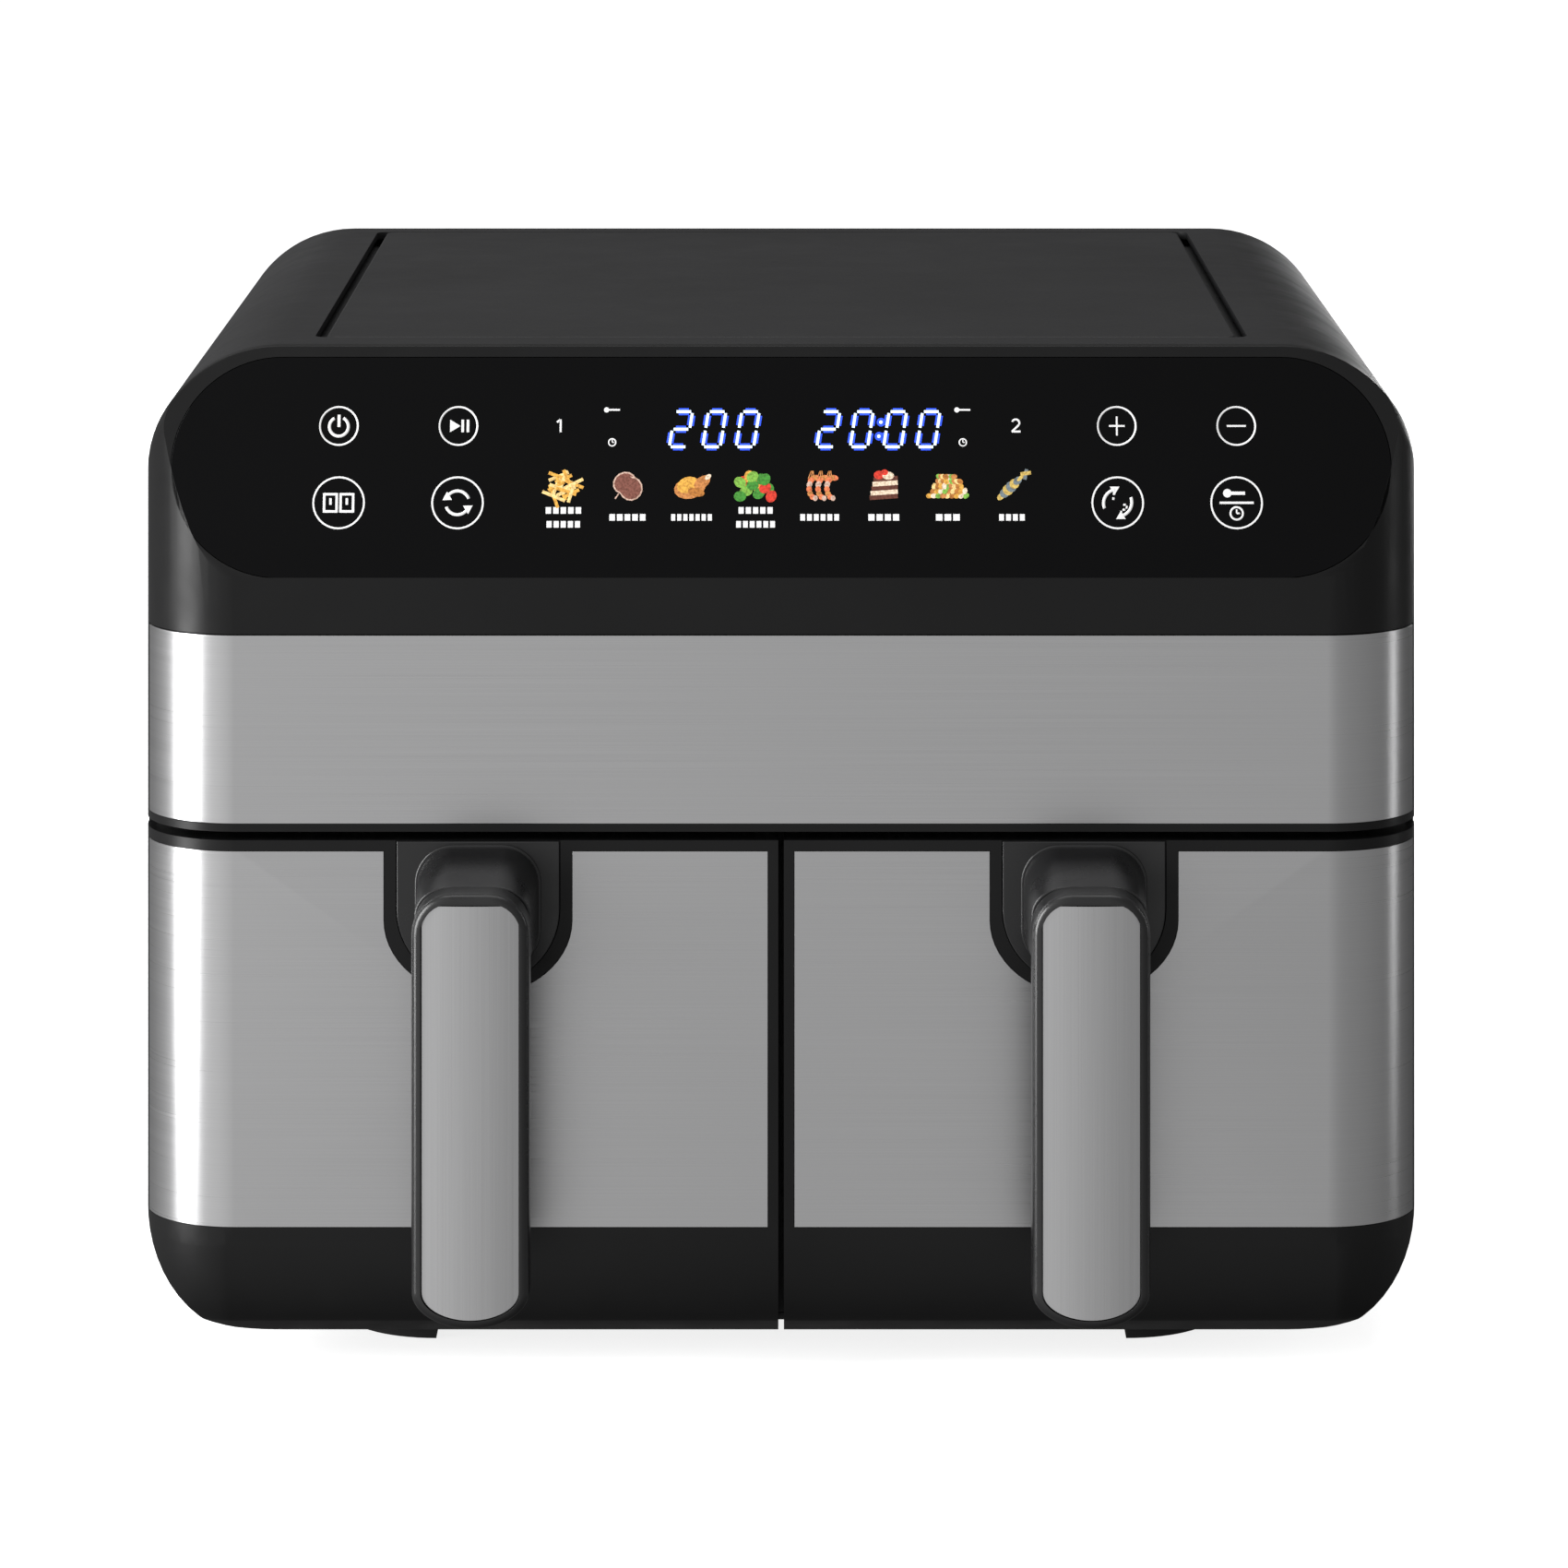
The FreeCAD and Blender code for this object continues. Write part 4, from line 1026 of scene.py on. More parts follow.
@dataclass
class PanelGraphics:
    """Symbols, digits and food pictures on the glass, drawn in millimetres as thin raised ink."""

    panel: Sheet
    maker: Maker
    lift: float = 0.03
    ink: float = 0.06
    line: float = 0.55
    shift: float = 2.0
    row_high: float = 45.9
    row_low: float = 22.6
    food_row: float = 27.6
    label_row: float = 18.2
    ring_small: float = 6.05
    ring_large: float = 8.0
    pitch: float = 19.5

    def bar(self, mesh: bmesh.types.BMesh, start: Point, end: Point,
            width: float) -> list[bmesh.types.BMFace]:
        """Straight stroke between two points.

        Args:
            mesh: the drawing.
            start, end: ends of the stroke.
            width: its width.

        Returns:
            Its face.
        """
        a, b = Vector(start), Vector(end)
        middle = (a + b) / 2
        turn = Matrix.Rotation(math.atan2(b.y - a.y, b.x - a.x), 4, "Z")
        size = Matrix.Diagonal(((b - a).length, width, 1, 1))
        place = Matrix.Translation((middle.x, middle.y, 0)) @ turn @ size
        made = bmesh.ops.create_grid(mesh, x_segments=1, y_segments=1, size=0.5, matrix=place)
        return list({f for v in made["verts"] for f in v.link_faces})

    def arc(self, mesh: bmesh.types.BMesh, centre: Point, radius: float, start: float = 0.0,
            sweep: float = 360.0, width: Optional[float] = None, steps: int = 40) -> None:
        """Round stroke, angles in degrees, spun from a short edge.

        Args:
            mesh: the drawing.
            centre: middle of the arc.
            radius: of the stroke's middle.
            start: angle of the first end.
            sweep: angle that it covers.
            width: of the stroke, or None for the usual line.
            steps: facets.
        """
        width = width or self.line
        turn = Matrix.Rotation(math.radians(start), 3, "Z")
        middle = Vector((centre[0], centre[1], 0))
        ends = [mesh.verts.new(middle + turn @ Vector((radius + s * width / 2, 0, 0))) for s in (-1, 1)]
        edge = mesh.edges.new(ends)
        bmesh.ops.spin(mesh, geom=ends + [edge], cent=middle, axis=UP, angle=math.radians(sweep),
                       steps=steps, use_merge=sweep >= 360, use_duplicate=False)

    def disc(self, mesh: bmesh.types.BMesh, centre: Point, across: float, high: float,
             turn: float = 0.0, steps: int = 16) -> list[bmesh.types.BMFace]:
        """Filled ellipse, sizes as half axes, turned in degrees.

        Args:
            mesh: the drawing.
            centre: its middle.
            across, high: half axes.
            turn: angle of the first axis.
            steps: corners; three make a triangle.

        Returns:
            Its face.
        """
        place = (Matrix.Translation((centre[0], centre[1], 0)) @ Matrix.Rotation(math.radians(turn), 4, "Z")
                 @ Matrix.Diagonal((across, high, 1, 1)))
        made = bmesh.ops.create_circle(mesh, cap_ends=True, segments=steps, radius=1.0, matrix=place)
        return list({f for v in made["verts"] for f in v.link_faces})

    def finish(self, name: str, mesh: bmesh.types.BMesh, material: bpy.types.Material, lift: float) -> None:
        """Lays a drawing on the glass and gives the ink its thickness.

        Args:
            name: the piece's name.
            mesh: the drawing, used up here.
            material: its finish.
            lift: height over the glass.
        """
        for face in mesh.faces:
            if face.normal.z < 0:
                face.normal_flip()
        bmesh.ops.translate(mesh, vec=(self.shift, 0, lift + self.ink), verts=mesh.verts[:])
        bmesh.ops.transform(mesh, matrix=self.panel.matrix @ Matrix.Scale(MM, 4), verts=mesh.verts[:])
        self.maker.piece(name, mesh, "casing", material, wall=self.ink * MM, slot="display_plastic")

    def digit(self, mesh: bmesh.types.BMesh, text: str, left: float, low: float, high: float,
              width: float) -> None:
        """Slanted seven-bar digit.

        Args:
            mesh: the drawing.
            text: the digit.
            left, low: its lower left corner.
            high: its height.
            width: of the bars.
        """
        lean = 0.16
        across = high * 0.5
        middle = high / 2
        ends = {"a": ((0, high), (across, high)), "b": ((across, high), (across, middle)),
                "c": ((across, middle), (across, 0)), "d": ((0, 0), (across, 0)), "e": ((0, middle), (0, 0)),
                "f": ((0, high), (0, middle)), "g": ((0, middle), (across, middle))}
        trim = width * 0.55
        for letter in SEGMENTS[text]:
            (x0, y0), (x1, y1) = ends[letter]
            length = math.hypot(x1 - x0, y1 - y0)
            dx, dy = (x1 - x0) / length * trim, (y1 - y0) / length * trim
            a = (left + x0 + dx + lean * (y0 + dy), low + y0 + dy)
            b = (left + x1 - dx + lean * (y1 - dy), low + y1 - dy)
            self.bar(mesh, a, b, width)

    def readout(self) -> None:
        """Temperature and time digits, a pale core over a blue halo."""
        high = 10.7
        low = self.row_high - high / 2 - 1.0
        pitch = 10.2
        for name, material, width, lift in (("display_halo", self.maker.finishes.halo, 2.1, self.lift),
                                            ("display_digits", self.maker.finishes.digit, 0.85,
                                             self.lift + self.ink * 1.5)):
            mesh = bmesh.new()
            for left, text in ((-36.1, "200"), (8.9, "2000")):
                for i, letter in enumerate(text):
                    self.digit(mesh, letter, left + i * pitch, low, high, width)
            for rise in (0.3, 0.7):
                self.disc(mesh, (27.4 + rise * 1.6, low + high * rise), width * 0.62, width * 0.62)
            self.finish(name, mesh, material, lift)

    def keys(self) -> None:
        """Round touch keys with generic symbols."""
        mesh = bmesh.new()
        high, low = self.row_high, self.row_low
        for x in (-137.0, -100.5, 100.5, 137.0):
            self.arc(mesh, (x, high), self.ring_small - self.line / 2)
        for x in (-136.7, -100.5, 100.5, 136.7):
            self.arc(mesh, (x, low), self.ring_large - self.line / 2)
        self.power(mesh, -137.0, high)
        self.play_pause(mesh, -100.5, high)
        self.bar(mesh, (98.1, high), (102.9, high), self.line)
        self.bar(mesh, (100.5, high - 2.9), (100.5, high + 2.9), self.line)
        self.bar(mesh, (134.1, high), (139.9, high), self.line)
        self.two_drawers(mesh, -136.7, low)
        self.round_arrows(mesh, -100.5, low)
        self.swap(mesh, 100.5, low)
        self.heat_and_clock(mesh, 136.7, low)
        self.zone_numbers(mesh)
        self.finish("touch_symbols", mesh, self.maker.finishes.white, self.lift)

    def power(self, mesh: bmesh.types.BMesh, x: float, y: float) -> None:
        """On and off symbol."""
        self.arc(mesh, (x, y - 0.2), 2.9, 118.0, 304.0, 0.9, 28)
        self.bar(mesh, (x, y - 0.3), (x, y + 3.4), 0.9)

    def play_pause(self, mesh: bmesh.types.BMesh, x: float, y: float) -> None:
        """Start and pause symbol.

        Args:
            mesh: the drawing.
            x, y: the symbol's middle.
        """
        self.disc(mesh, (x - 1.5, y), 2.2, 2.1, -90.0, 3)
        for shift in (1.3, 2.9):
            self.bar(mesh, (x + shift, y - 1.9), (x + shift, y + 1.9), 0.8)

    def two_drawers(self, mesh: bmesh.types.BMesh, x: float, y: float) -> None:
        """Two small drawers side by side.

        Args:
            mesh: the drawing.
            x, y: the symbol's middle.
        """
        thin = 0.75
        for shift in (-2.5, 2.5):
            left, right = x + (shift - 1.9), x + (shift + 1.9)
            for start, end in (((left, y - 2.6), (right, y - 2.6)), ((left, y + 2.6), (right, y + 2.6)),
                               ((left, y - 2.95), (left, y + 2.95)),
                               ((right, y - 2.95), (right, y + 2.95))):
                self.bar(mesh, start, end, thin)
            self.bar(mesh, (x + shift, y - 0.6), (x + shift, y + 1.4), thin)

    def round_arrows(self, mesh: bmesh.types.BMesh, x: float, y: float) -> None:
        """Two arrows that chase each other.

        Args:
            mesh: the drawing.
            x, y: the symbol's middle.
        """
        for start in (20.0, 200.0):
            self.arc(mesh, (x, y), 3.6, start, 125.0, 0.9, 16)
            tip = math.radians(start + 132.0)
            self.disc(mesh, (x + 3.6 * math.cos(tip), y + 3.6 * math.sin(tip)), 1.7, 1.7,
                      start + 132.0 + 90.0, 3)

    def swap(self, mesh: bmesh.types.BMesh, x: float, y: float) -> None:
        """Arrows that swap the two zones, with the zones' numbers.

        Args:
            mesh: the drawing.
            x, y: the symbol's middle.
        """
        for sign in (-1, 1):
            self.arc(mesh, (x, y + sign * 0.2), 4.3, 100.0 if sign < 0 else -80.0, 100.0, 0.9, 14)
            self.disc(mesh, (x + sign * 0.9, y - sign * 4.1), 1.7, 1.6, 0.0 if sign > 0 else 180.0, 3)
        self.digit(mesh, "1", x - 2.9, y + 0.5, 3.0, 0.7)
        self.digit(mesh, "2", x + 0.9, y - 3.6, 3.0, 0.6)

    def heat_and_clock(self, mesh: bmesh.types.BMesh, x: float, y: float) -> None:
        """Thermometer over a clock, with a line between.

        Args:
            mesh: the drawing.
            x, y: the symbol's middle.
        """
        thin = 0.7
        self.bar(mesh, (x - 5.2, y), (x + 5.2, y), thin)
        self.bar(mesh, (x - 2.6, y + 2.9), (x + 2.6, y + 2.9), 1.0)
        self.disc(mesh, (x - 2.8, y + 2.9), 1.3, 1.3)
        self.arc(mesh, (x, y - 3.2), 1.9, 0.0, 360.0, 0.6, 20)
        self.bar(mesh, (x, y - 3.2), (x, y - 2.0), 0.5)
        self.bar(mesh, (x, y - 3.2), (x + 1.0, y - 3.2), 0.5)

    def zone_numbers(self, mesh: bmesh.types.BMesh) -> None:
        """Numbers 1 and 2 of the two zones and the small heat and clock marks.

        Args:
            mesh: the drawing.
        """
        low = self.row_high - 1.9
        self.bar(mesh, (-69.3, low), (-69.3, low + 3.9), 0.6)
        self.bar(mesh, (-70.4, low + 3.0), (-69.4, low + 3.8), 0.6)
        self.arc(mesh, (69.7, low + 2.8), 1.1, -30.0, 190.0, 0.6, 12)
        self.bar(mesh, (70.6, low + 2.2), (68.5, low + 0.2), 0.6)
        self.bar(mesh, (68.4, low + 0.2), (71.1, low + 0.2), 0.6)
        for x in (-53.5, 53.5):
            top, under = self.row_high + 4.9, self.row_high - 5.0
            self.bar(mesh, (x - 1.6, top), (x + 2.3, top), 0.55)
            self.disc(mesh, (x - 1.8, top), 0.8, 0.8)
            self.arc(mesh, (x, under), 1.1, 0.0, 360.0, 0.4, 16)
            self.bar(mesh, (x, under), (x, under + 0.8), 0.35)
            self.bar(mesh, (x, under), (x + 0.6, under), 0.35)

    def labels(self) -> None:
        """Rows of plain blocks under the food pictures, in place of words."""
        mesh = bmesh.new()
        rows = (((5, 11.4), (5, 10.8)), ((5, 11.6),), ((7, 13.0),), ((5, 11.0), (6, 12.4)), ((6, 12.4),),
                ((4, 10.0),), ((3, 7.9),), ((4, 8.4),))
        for i, words in enumerate(rows):
            x = (i - 3.5) * self.pitch
            for j, (count, wide) in enumerate(words):
                y = self.label_row + (2.1 if len(words) == 2 else 0.0) - j * 4.2
                cell = wide / count
                for k in range(count):
                    left = x - wide / 2 + k * cell
                    self.bar(mesh, (left + 0.3, y), (left + cell - 0.3, y), 2.0)
        self.finish("label_blocks", mesh, self.maker.finishes.white, self.lift)

    def build(self) -> None:
        """Draws everything."""
        self.keys()
        self.readout()
        self.labels()
        FoodPictures(self).build()


GOLD, PALE, CRUST = (0.72, 0.38, 0.06), (0.85, 0.62, 0.25), (0.45, 0.17, 0.03)
MEAT, FAT, ROAST = (0.20, 0.07, 0.05), (0.60, 0.42, 0.34), (0.55, 0.22, 0.06)
LEAF, LIME, TOMATO = (0.05, 0.26, 0.03), (0.20, 0.45, 0.06), (0.65, 0.04, 0.02)
CREAM, COCOA, PRAWN = (0.80, 0.66, 0.50), (0.12, 0.035, 0.02), (0.75, 0.20, 0.08)
SCALE_BLUE, BELLY = (0.16, 0.20, 0.22), (0.62, 0.45, 0.12)


@dataclass
class FoodPictures:
    """Eight small coloured foods in a row, built from overlapping shapes."""

    ink: PanelGraphics

    def __post_init__(self) -> None:
        """Starts the drawing with a colour per face."""
        self.mesh = bmesh.new()
        self.layer = self.mesh.loops.layers.float_color.new("ink")
        self.level = 0

    def paint(self, faces: list[bmesh.types.BMFace], colour: Rgb) -> None:
        """Colours faces and raises them over the ones before.

        Args:
            faces: the faces.
            colour: their ink.
        """
        self.level += 1
        verts = {v for f in faces for v in f.verts}
        bmesh.ops.translate(self.mesh, vec=(0, 0, self.level % 24 * 0.004), verts=list(verts))
        for face in faces:
            for loop in face.loops:
                loop[self.layer] = (*colour, 1)

    def oval(self, x: float, y: float, across: float, high: float, turn: float, colour: Rgb) -> None:
        """Filled oval, sizes in millimetres."""
        self.paint(self.ink.disc(self.mesh, (x, y), across, high, turn, 14), colour)

    def stick(self, x: float, y: float, length: float, turn: float, width: float, colour: Rgb) -> None:
        """Straight piece centred on a point, sizes in millimetres.

        Args:
            x, y: its middle.
            length, width: its size.
            turn: its angle in degrees.
            colour: its ink.
        """
        arm = Vector((math.cos(math.radians(turn)), math.sin(math.radians(turn)))) * length / 2
        start, end = ((x - arm.x), (y - arm.y)), ((x + arm.x), (y + arm.y))
        self.paint(self.ink.bar(self.mesh, start, end, width), colour)

    def fries(self, x: float, y: float) -> None:
        """Heap of potato sticks.

        Args:
            x, y: the picture's middle.
        """
        for i in range(18):
            turn = (i * 47) % 140 - 70
            self.stick(x + ((i * 29) % 9 - 4) * 0.75, y + ((i * 17) % 9 - 4) * 0.75, 7.5 - i % 3,
                       turn + 90 * (i % 2) * 0.5, 1.0, (GOLD, PALE)[i % 2])

    def steak(self, x: float, y: float) -> None:
        """Slab of meat with a fat rim, seared lines and a few herbs.

        Args:
            x, y: the picture's middle.
        """
        for dx, dy, across, high, turn in ((-0.9, 1.0, 3.7, 3.3, 30), (1.0, -0.7, 3.6, 3.7, -20)):
            self.oval(x + dx, y + dy, across, high, turn, FAT)
            self.oval(x + dx, y + dy, across - 0.45, high - 0.45, turn, MEAT)
        self.oval(x, y, 3.6, 2.9, -40, MEAT)
        for i in range(16):
            self.stick(x + ((i * 29) % 9 - 4) * 0.8, y + ((i * 17) % 9 - 4) * 0.75, 1.9,
                       50 + (i * 23) % 40, 0.4, (COCOA, FAT, CRUST, LIME)[i % 4])

    def roast(self, x: float, y: float) -> None:
        """Roast bird with a leg.

        Args:
            x, y: the picture's middle.
        """
        self.oval(x - 0.6, y - 0.6, 4.8, 3.2, 10, ROAST)
        self.oval(x - 1.2, y + 0.4, 3.4, 2.4, 20, GOLD)
        self.oval(x + 3.2, y + 1.2, 2.8, 1.7, 35, ROAST)
        self.oval(x + 5.0, y + 2.8, 1.1, 0.7, 40, CREAM)
        self.oval(x + 1.4, y - 1.8, 2.6, 1.3, -10, CRUST)

    def greens(self, x: float, y: float) -> None:
        """Heap of vegetables.

        Args:
            x, y: the picture's middle.
        """
        for i in range(14):
            colour = (LEAF, LIME, LEAF, TOMATO, GOLD)[i % 5]
            self.oval(x + ((i * 37) % 11 - 5) * 0.95, y + ((i * 23) % 8 - 3.6) * 0.85, 1.9, 1.6, i * 30,
                      colour)

    def prawns(self, x: float, y: float) -> None:
        """Three curled prawns side by side, with feelers.

        Args:
            x, y: the picture's middle.
        """
        for i in range(3):
            middle = x - 2.6 + i * 2.7
            for j in range(3):
                self.stick(middle + 0.6 * j - 0.4, y + 3.4, 2.6, 70 + 14 * j, 0.3, ROAST)
            for j in range(8):
                turn = 80 + j * 27
                cx = middle + 1.3 + 1.9 * math.cos(math.radians(turn))
                cy = y - 0.5 + 3.1 * math.sin(math.radians(turn))
                self.oval(cx, cy, 1.3 - j * 0.08, 0.85, turn + 90, (PRAWN, ROAST, PRAWN, FAT)[j % 4])

    def cake(self, x: float, y: float) -> None:
        """Layered slice with fruit on top.

        Args:
            x, y: the picture's middle.
        """
        for i in range(5):
            self.stick(x + i * 0.15, y - 3.2 + i * 1.35, 8.6 - i * 0.3, 4, 1.4, (COCOA, CREAM)[i % 2])
        self.oval(x - 1.4, y + 3.4, 1.6, 1.3, 0, TOMATO)
        self.oval(x + 1.4, y + 3.2, 1.8, 1.2, 0, CREAM)
        self.oval(x + 0.3, y + 4.2, 1.1, 0.9, 0, TOMATO)

    def nuts(self, x: float, y: float) -> None:
        """Heap of nuts.

        Args:
            x, y: the picture's middle.
        """
        for i in range(44):
            row, step = i % 5, i // 5
            reach = 5.6 - row * 0.75
            self.oval(x + reach * (step / 4 - 1) + 0.4 * (row % 2), y - 2.9 + row * 1.45, 1.0, 0.75, i * 37,
                      (GOLD, CRUST, PALE, ROAST, LIME, CREAM)[i % 6])

    def fish(self, x: float, y: float) -> None:
        """Slim fish set on a slant.

        Args:
            x, y: the picture's middle.
        """
        for i in range(7):
            s = i / 6
            high = 1.7 * math.sin(math.pi * (0.18 + s * 0.72))
            self.oval(x - 3.2 + s * 6.0, y - 3.0 + s * 5.6, 1.5, high, 43, (BELLY, SCALE_BLUE)[i % 2])
        self.stick(x + 4.3, y + 3.6, 3.2, 78, 1.1, SCALE_BLUE)
        self.stick(x + 4.3, y + 3.9, 3.2, 8, 1.1, BELLY)

    def build(self) -> None:
        """Draws the row and lays it on the glass."""
        foods = (self.fries, self.steak, self.roast, self.greens, self.prawns, self.cake, self.nuts,
                 self.fish)
        for i, food in enumerate(foods):
            food((i - 3.5) * self.ink.pitch, self.ink.food_row)
        self.ink.finish("food_pictures", self.mesh, self.ink.maker.finishes.food, self.ink.lift)


# ---------------------------------------------------------------- drawers
@dataclass
class Drawer:
    """One drawer: moulded front, steel face, handle and tub. Built on the right, mirrored to its side."""

    form: CasingForm
    maker: Maker
    side: Side
    wall: float = 2.6 * MM
    steel_sheet: float = 0.8 * MM
    chin_setback: float = 8.5 * MM
    chin_round: float = 6.0 * MM
    chin_ease: float = 0.4 * MM
    cutout_half: float = 28.5 * MM
    cutout_straight: float = 24.3 * MM
    cutout_drop: float = 23.0 * MM
    base_blank: float = 60.0 * MM
    base_sheet: float = 3.0 * MM
    base_straight: float = 21.1 * MM
    base_drop: float = 23.4 * MM
    seam: float = 0.2 * MM
    neck_width: float = 37.0 * MM
    neck_height: float = 36.0 * MM
    neck_top: float = 2.0 * MM
    neck_corner: float = 11.0 * MM
    neck_fall: float = 5.0 * MM
    neck_rise: float = 3.0 * MM
    neck_taper: float = 1.2 * MM
    neck_bead: float = 0.7 * MM
    grip_corner: float = 12.0 * MM
    grip_half: float = 17.5 * MM
    grip_drop: float = 11.0 * MM
    grip_round: float = 2.5 * MM
    grip_edge: float = 0.25 * MM
    insert_corner: float = 5.5 * MM
    insert_drop: float = 8.0 * MM
    insert_crown: float = 1.0 * MM
    insert_seam: float = 0.35 * MM
    insert_seat: float = 1.6 * MM
    insert_sheet: float = 1.4 * MM
    insert_strips: int = 12
    tub_corner: float = 22.0 * MM
    tub_round: float = 8.0 * MM
    tub_wall: float = 1.2 * MM
    tub_rim: float = 3.6 * MM
    overshoot: float = 1.0 * MM
    edge: float = 0.45 * MM
    thin_edge: float = 0.3 * MM

    def __post_init__(self) -> None:
        """Reads this drawer's planes from the right-hand nodes."""
        self.front_low, self.front_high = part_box("right_drawer_front")
        self.steel_low, self.steel_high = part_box("right_drawer_steel")
        plate_low, plate_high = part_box("right_handle_base")
        self.handle_x = (plate_low.x + plate_high.x) / 2
        self.plate_half = (plate_high.x - plate_low.x) / 2
        self.plate_top = plate_high.z
        self.grip_low, self.grip_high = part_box("right_handle_grip")
        self.insert_low, self.insert_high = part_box("right_handle_insert")
        self.body = self.side.node("drawer")

    def make(self, name: str, mesh: bmesh.types.BMesh, material: bpy.types.Material, wall: float, edge: float,
             even: bool = True) -> None:
        """Mirrors a mesh to its side and finishes it in place of the node of that name.

        Args:
            name: the node's name without its side.
            mesh: the right-hand shape, used up here.
            material: its finish.
            wall: thickness given to an open surface.
            edge: rounding of its sharp edges.
            even: keep the wall even at corners.
        """
        node = self.side.node(name)
        self.maker.piece(node + "_made", mirrored(mesh, self.side), self.body, material, [node], wall, edge,
                         even=even)

    def chin_profile(self) -> list[tuple[float, float, float]]:
        """Chin as (set back, height, slope) from the steel down to the underside.

        Returns:
            The stations.
        """
        bend = self.steel_low.z
        rise = self.front_low.z + self.chin_round
        profile = []
        for i in range(1, 12):
            a = math.pi / 2 * i / 12
            slope = math.atan2(self.chin_setback * math.sin(a), (bend - rise) * math.cos(a))
            profile.append((self.chin_setback * (1 - math.cos(a)), bend - (bend - rise) * math.sin(a), slope))
        first = profile[-1][2]
        for i in range(1, 6):
            a = first + (math.pi / 2 - first) * i / 6
            profile.append((self.chin_setback - self.chin_ease + self.chin_round * (1 - math.cos(a)),
                            rise - self.chin_round * math.sin(a), a))
        return profile

    def front_form(self) -> bmesh.types.BMesh:
        """Solid drawer front with a chin that rolls in under it and round its outer corner.

        Returns:
            The solid.
        """
        f = self.form
        low, high = self.front_low, self.front_high
        mesh = f.solid(f.front, high.y, low.z, high.z)
        shave(mesh, [plane(-RIGHT, -low.x)])
        planes = []
        for setback, height, slope in self.chin_profile():
            for i in range(9):
                turn = math.pi / 2 * i / 9
                across = Vector((math.sin(turn), -math.cos(turn), 0))
                centre = Vector((f.half - f.corner_plan, f.front + f.corner_plan, height))
                point = centre + across * (f.corner_plan - setback)
                planes.append((point, across * math.cos(slope) + Vector((0, 0, -math.sin(slope)))))
        return shave(mesh, planes)

    def cutout(self, half: float, top: float, straight: float, drop: float) -> list[Plane]:
        """Cutting planes of a half-oval round the handle."""
        return FRONT_SHEET.cuts(half_oval(self.handle_x, half, top, straight, drop))

    def steel_zone(self, mesh: bmesh.types.BMesh, seam: float) -> list[bmesh.types.BMFace]:
        """Scores the steel's outline into a drawer front and returns the faces inside it.

        Args:
            mesh: the drawer front.
            seam: gap left at the outline.

        Returns:
            The faces inside the outline.
        """
        low, high = self.steel_low, self.steel_high
        planes = [plane(-RIGHT, -low.x - seam), plane(BACK, high.y), plane(-UP, -low.z - seam),
                  plane(UP, high.z - seam)]
        zone = knife(mesh, [face for face in mesh.faces if self.is_skin(face)], planes)
        over = self.overshoot
        round_handle = self.cutout(self.cutout_half + seam, self.front_high.z + over,
                                   self.cutout_straight + over, self.cutout_drop + seam)
        hole = set(knife(mesh, ahead(zone), round_handle))
        inside = []
        for face in mesh.faces:
            c = face.calc_center_median()
            within = low.x + seam < c.x and c.y < high.y and low.z + seam < c.z < high.z - seam
            if within and self.is_skin(face) and face not in hole:
                inside.append(face)
        return inside

    def is_skin(self, face: bmesh.types.BMFace) -> bool:
        """Whether a face belongs to the front or the wrapped side."""
        return face.normal.y < 0.5 and abs(face.normal.z) < 0.5

    def moulding(self) -> None:
        """Black moulded front: borders, chin and returns, with seats for the steel and the handle plate."""
        mesh = self.front_form()
        drop(mesh, lambda face: face.normal.y > MOSTLY)
        clear(mesh, self.steel_zone(mesh, 0.0))
        over = self.overshoot
        seat = self.cutout(self.plate_half + self.seam, self.front_high.z + over, self.base_straight + over,
                           self.base_drop + self.seam)
        clear(mesh, knife(mesh, ahead(mesh.faces), seat))
        self.make("drawer_front", mesh, self.maker.finishes.front, self.wall, self.edge)

    def steel(self) -> None:
        """Brushed face, wrapped round the outer corner."""
        mesh = self.front_form()
        kept = set(self.steel_zone(mesh, self.seam))
        drop(mesh, lambda face: face not in kept)
        self.make("drawer_steel", mesh, self.maker.finishes.steel, self.steel_sheet, self.thin_edge)

    def handle_base(self) -> None:
        """Half-oval plate and the neck that grows out of it."""
        f = self.form
        x = self.handle_x
        plate = block((x - self.plate_half, f.front, self.plate_top - self.base_blank),
                      (x + self.plate_half, f.front + self.base_sheet, self.plate_top))
        shave(plate, self.cutout(self.plate_half, self.plate_top, self.base_straight, self.base_drop))
        top = self.front_high.z - self.neck_top
        low = top - self.neck_height
        half = self.neck_width / 2
        grip_back = self.grip_high.y
        for grow, start in ((0.0, grip_back), (self.neck_bead, f.front - self.neck_bead)):
            neck = block((x - half - grow, start, low - grow),
                         (x + half + grow, f.front + self.overshoot, top + grow))
            outline = rectangle(x - half - grow, x + half + grow, low - grow, top + grow,
                                (self.neck_corner + grow,) * 4, 12)
            shave(neck, FRONT_SHEET.cuts(outline))
            for v in neck.verts:
                if v.co.y < grip_back + NEAR:
                    v.co.x = x + (v.co.x - x) * (1 - self.neck_taper / half)
                    up = (v.co.z - low) / self.neck_height
                    v.co.z = low + self.neck_rise + up * (self.neck_height - self.neck_rise - self.neck_fall)
            add_to(plate, neck)
        self.make("handle_base", plate, self.maker.finishes.handle, 0.0, self.edge)

